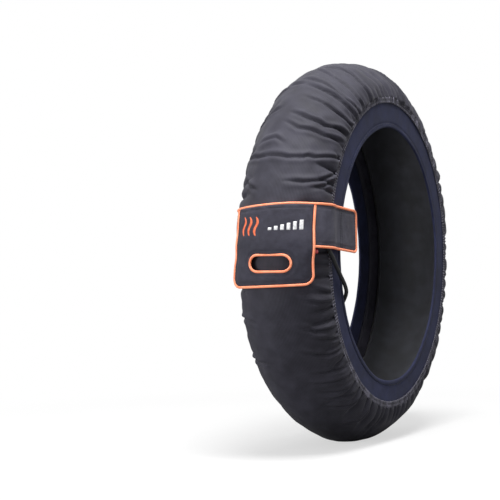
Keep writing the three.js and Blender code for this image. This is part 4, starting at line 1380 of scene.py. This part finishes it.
# Hook-and-loop closure: a loop pad sewn on the near panel inside the hem and a hook pad
# under the strap, which hold the strap's end.
PAD_START = RIM_ARC + RIM_RADIUS - OPENING_RADIUS - 0.008 - 0.004
PAD_LENGTH, PAD_HALF = 0.022, 0.024
for name, node, low, high in (("loop_pad", "panel_loop_pad", 0.0, 0.002),
                              ("hook_pad", "strap_hook_pad", 0.0023, 0.0039)):
    outline = rounded_box((-PAD_START, -PAD_HALF), (-PAD_START + PAD_LENGTH, PAD_HALF), 0.002)
    outline = evened(outline, 0.004)
    outline[:, 1] += strap_height(outline[:, 0])
    pad = laid_cloth(name, outline, lambda a, h: np.full(len(a), low), high - low, tape,
                     spacing=0.003)
    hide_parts(node)


# Indicator lamp: a red moulded lens in a black bezel, riveted through the cover just
# under the strap, which shows that the warmer is on.
LAMP_ARC, LAMP_HEIGHT = -0.074, 0.0041
LAMP_WIDE, LAMP_TALL = 0.009, 0.0086
LENS_MARGIN = 0.0012


def squared_round(name, rows, material, power, sides=48):
    """A rounded-square moulding on the cover from (width, height, lift) rows."""
    around = np.arange(sides) * 2 * math.pi / sides
    across, up = squared(np.cos(around), power), squared(np.sin(around), power)
    grid = [
        on_front(LAMP_ARC + wide / 2 * across, LAMP_HEIGHT + tall / 2 * up, lift)
        for wide, tall, lift in rows
    ]
    chart = pairs(np.linspace(0, 0.01, len(rows) + 1), np.linspace(0, 0.03, sides + 1))
    return shell(name, np.stack(grid), material, chart, (False, True))


def lens_red(place):
    facets = place.axis("Y").ribs(0.0011) * place.axis("Z").ribs(0.0011)
    depth = place.cloud(0.003, 2)
    return {
        "Base Color": (facets * 0.4 + depth * 0.6).tinted("a01020", "f04a5c"),
        "Roughness": 0.12 + depth * 0.1,
        "Emission Color": facets.tinted("50060c", "a01824"),
        "Normal": facets.relief(0.0002, 0.4),
    }


lens_finish = finish("red_lens", {"Coat Weight": 0.6, "Coat Roughness": 0.05,
                                  "Emission Strength": 0.35}, lens_red)
inner_wide, inner_tall = LAMP_WIDE - 2 * LENS_MARGIN, LAMP_TALL - 2 * LENS_MARGIN
bezel_rows = [
    (LAMP_WIDE - 0.0006, LAMP_TALL - 0.0006, 0.0008), (LAMP_WIDE, LAMP_TALL, 0.0011),
    (LAMP_WIDE, LAMP_TALL, 0.0024), (LAMP_WIDE - 0.0007, LAMP_TALL - 0.0007, 0.003),
    (inner_wide + 0.0009, inner_tall + 0.0009, 0.0031),
    (inner_wide + 0.0003, inner_tall + 0.0003, 0.0027),
    (0.002, 0.002, 0.0026),
]
bezel = squared_round("lamp_bezel_ring", bezel_rows, rubber, 0.55)
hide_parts("lamp_bezel")
lens_rows = [(inner_wide * s, inner_tall * s, lift) for s, lift in (
    (0.98, 0.0027), (1.0, 0.0031), (1.0, 0.0042), (0.94, 0.0048), (0.8, 0.0052), (0.55, 0.0054),
    (0.25, 0.0055), (0.06, 0.0055))]
lens = squared_round("lamp_lens", lens_rows, lens_finish, 0.6)
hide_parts("indicator_lens")


# Floor, backdrop and lamps: a pale floor that runs out into white, a large soft lamp
# overhead, one at the front on the far side, and a weak light from the sky.
def floor_finish():
    """Darker to everything but the camera, so that the floor throws little light up."""
    material = bpy.data.materials.new("pale_floor")
    material.use_nodes = True
    tree = material.node_tree
    start = Finish(tree)
    for node in list(tree.nodes):
        tree.nodes.remove(node)
    place = start.node("ShaderNodeTexCoord", {}, {}, "Object")
    grain = place.cloud(0.02, 3)
    tone = grain.tinted("e6e6e6", "ececec")
    seen = start.node("ShaderNodeLightPath", {}, {}, "Is Camera Ray")
    tone = start.node("ShaderNodeMix", {"data_type": "RGBA"},
                      {0: seen, 6: (0.25, 0.25, 0.25, 1), 7: tone}, 2)
    diffuse = start.node("ShaderNodeBsdfDiffuse", {}, {"Color": tone})
    white = start.node("ShaderNodeEmission", {}, {"Strength": 1.0})
    reach = start.node("ShaderNodeVectorMath", {"operation": "LENGTH"}, {0: place}, "Value")
    fade = reach.between(0.45, 1.1) * 0.4 + 0.6
    mixed = start.node("ShaderNodeMixShader", {}, {0: seen * fade, 1: diffuse, 2: white})
    result = tree.nodes.new("ShaderNodeOutputMaterial")
    tree.links.new(mixed.socket, result.inputs["Surface"])
    return material


floor_points = [(x, y, FLOOR - 0.0005) for x, y in ((-4, -4), (4, -4), (4, 4), (-4, 4))]
floor_mesh = bpy.data.meshes.new("floor")
floor_mesh.from_pydata(floor_points, [], [(0, 1, 2, 3)])
floor_mesh.materials.append(floor_finish())
floor = placed("floor", floor_mesh)

world = bpy.data.worlds.new("studio")
world.use_nodes = True
bpy.context.scene.world = world
studio = Finish(world.node_tree)
background = world.node_tree.nodes["Background"]
path = studio.node("ShaderNodeLightPath", {}, {}, "Is Camera Ray")
glossy = studio.node("ShaderNodeLightPath", {}, {}, "Is Glossy Ray")
passing = studio.node("ShaderNodeLightPath", {}, {}, "Is Transmission Ray")
white_seen = path.math("MAXIMUM", path.math("MAXIMUM", path, glossy), passing)
height = studio.node("ShaderNodeTexCoord", {}, {}, "Generated").axis("Z")
sky = 0.08 + height.between(-0.3, 0.9) * 0.42
world_level = sky + white_seen * (1 - sky)
world.node_tree.links.new(world_level.socket, background.inputs["Strength"])
background.inputs["Color"].default_value = (1, 1, 1, 1)


def soft_lamp(name, place, aim, size, power):
    lamp = bpy.data.lights.new(name, "AREA")
    lamp.shape = "RECTANGLE"
    lamp.size, lamp.size_y = size
    lamp.energy = power
    made = placed(name, lamp)
    made.location = place
    made.rotation_euler = (Vector(aim) - Vector(place)).to_track_quat("-Z", "Y").to_euler()


soft_lamp("overhead", (-0.55, -0.35, 1.75), (-0.1, 0, 0), (0.9, 0.8), 54)
soft_lamp("front", (-2.1, 1.0, 0.05), (-0.2, 0, -0.05), (0.8, 0.6), 26)
bpy.context.scene.view_settings.view_transform = "Standard"
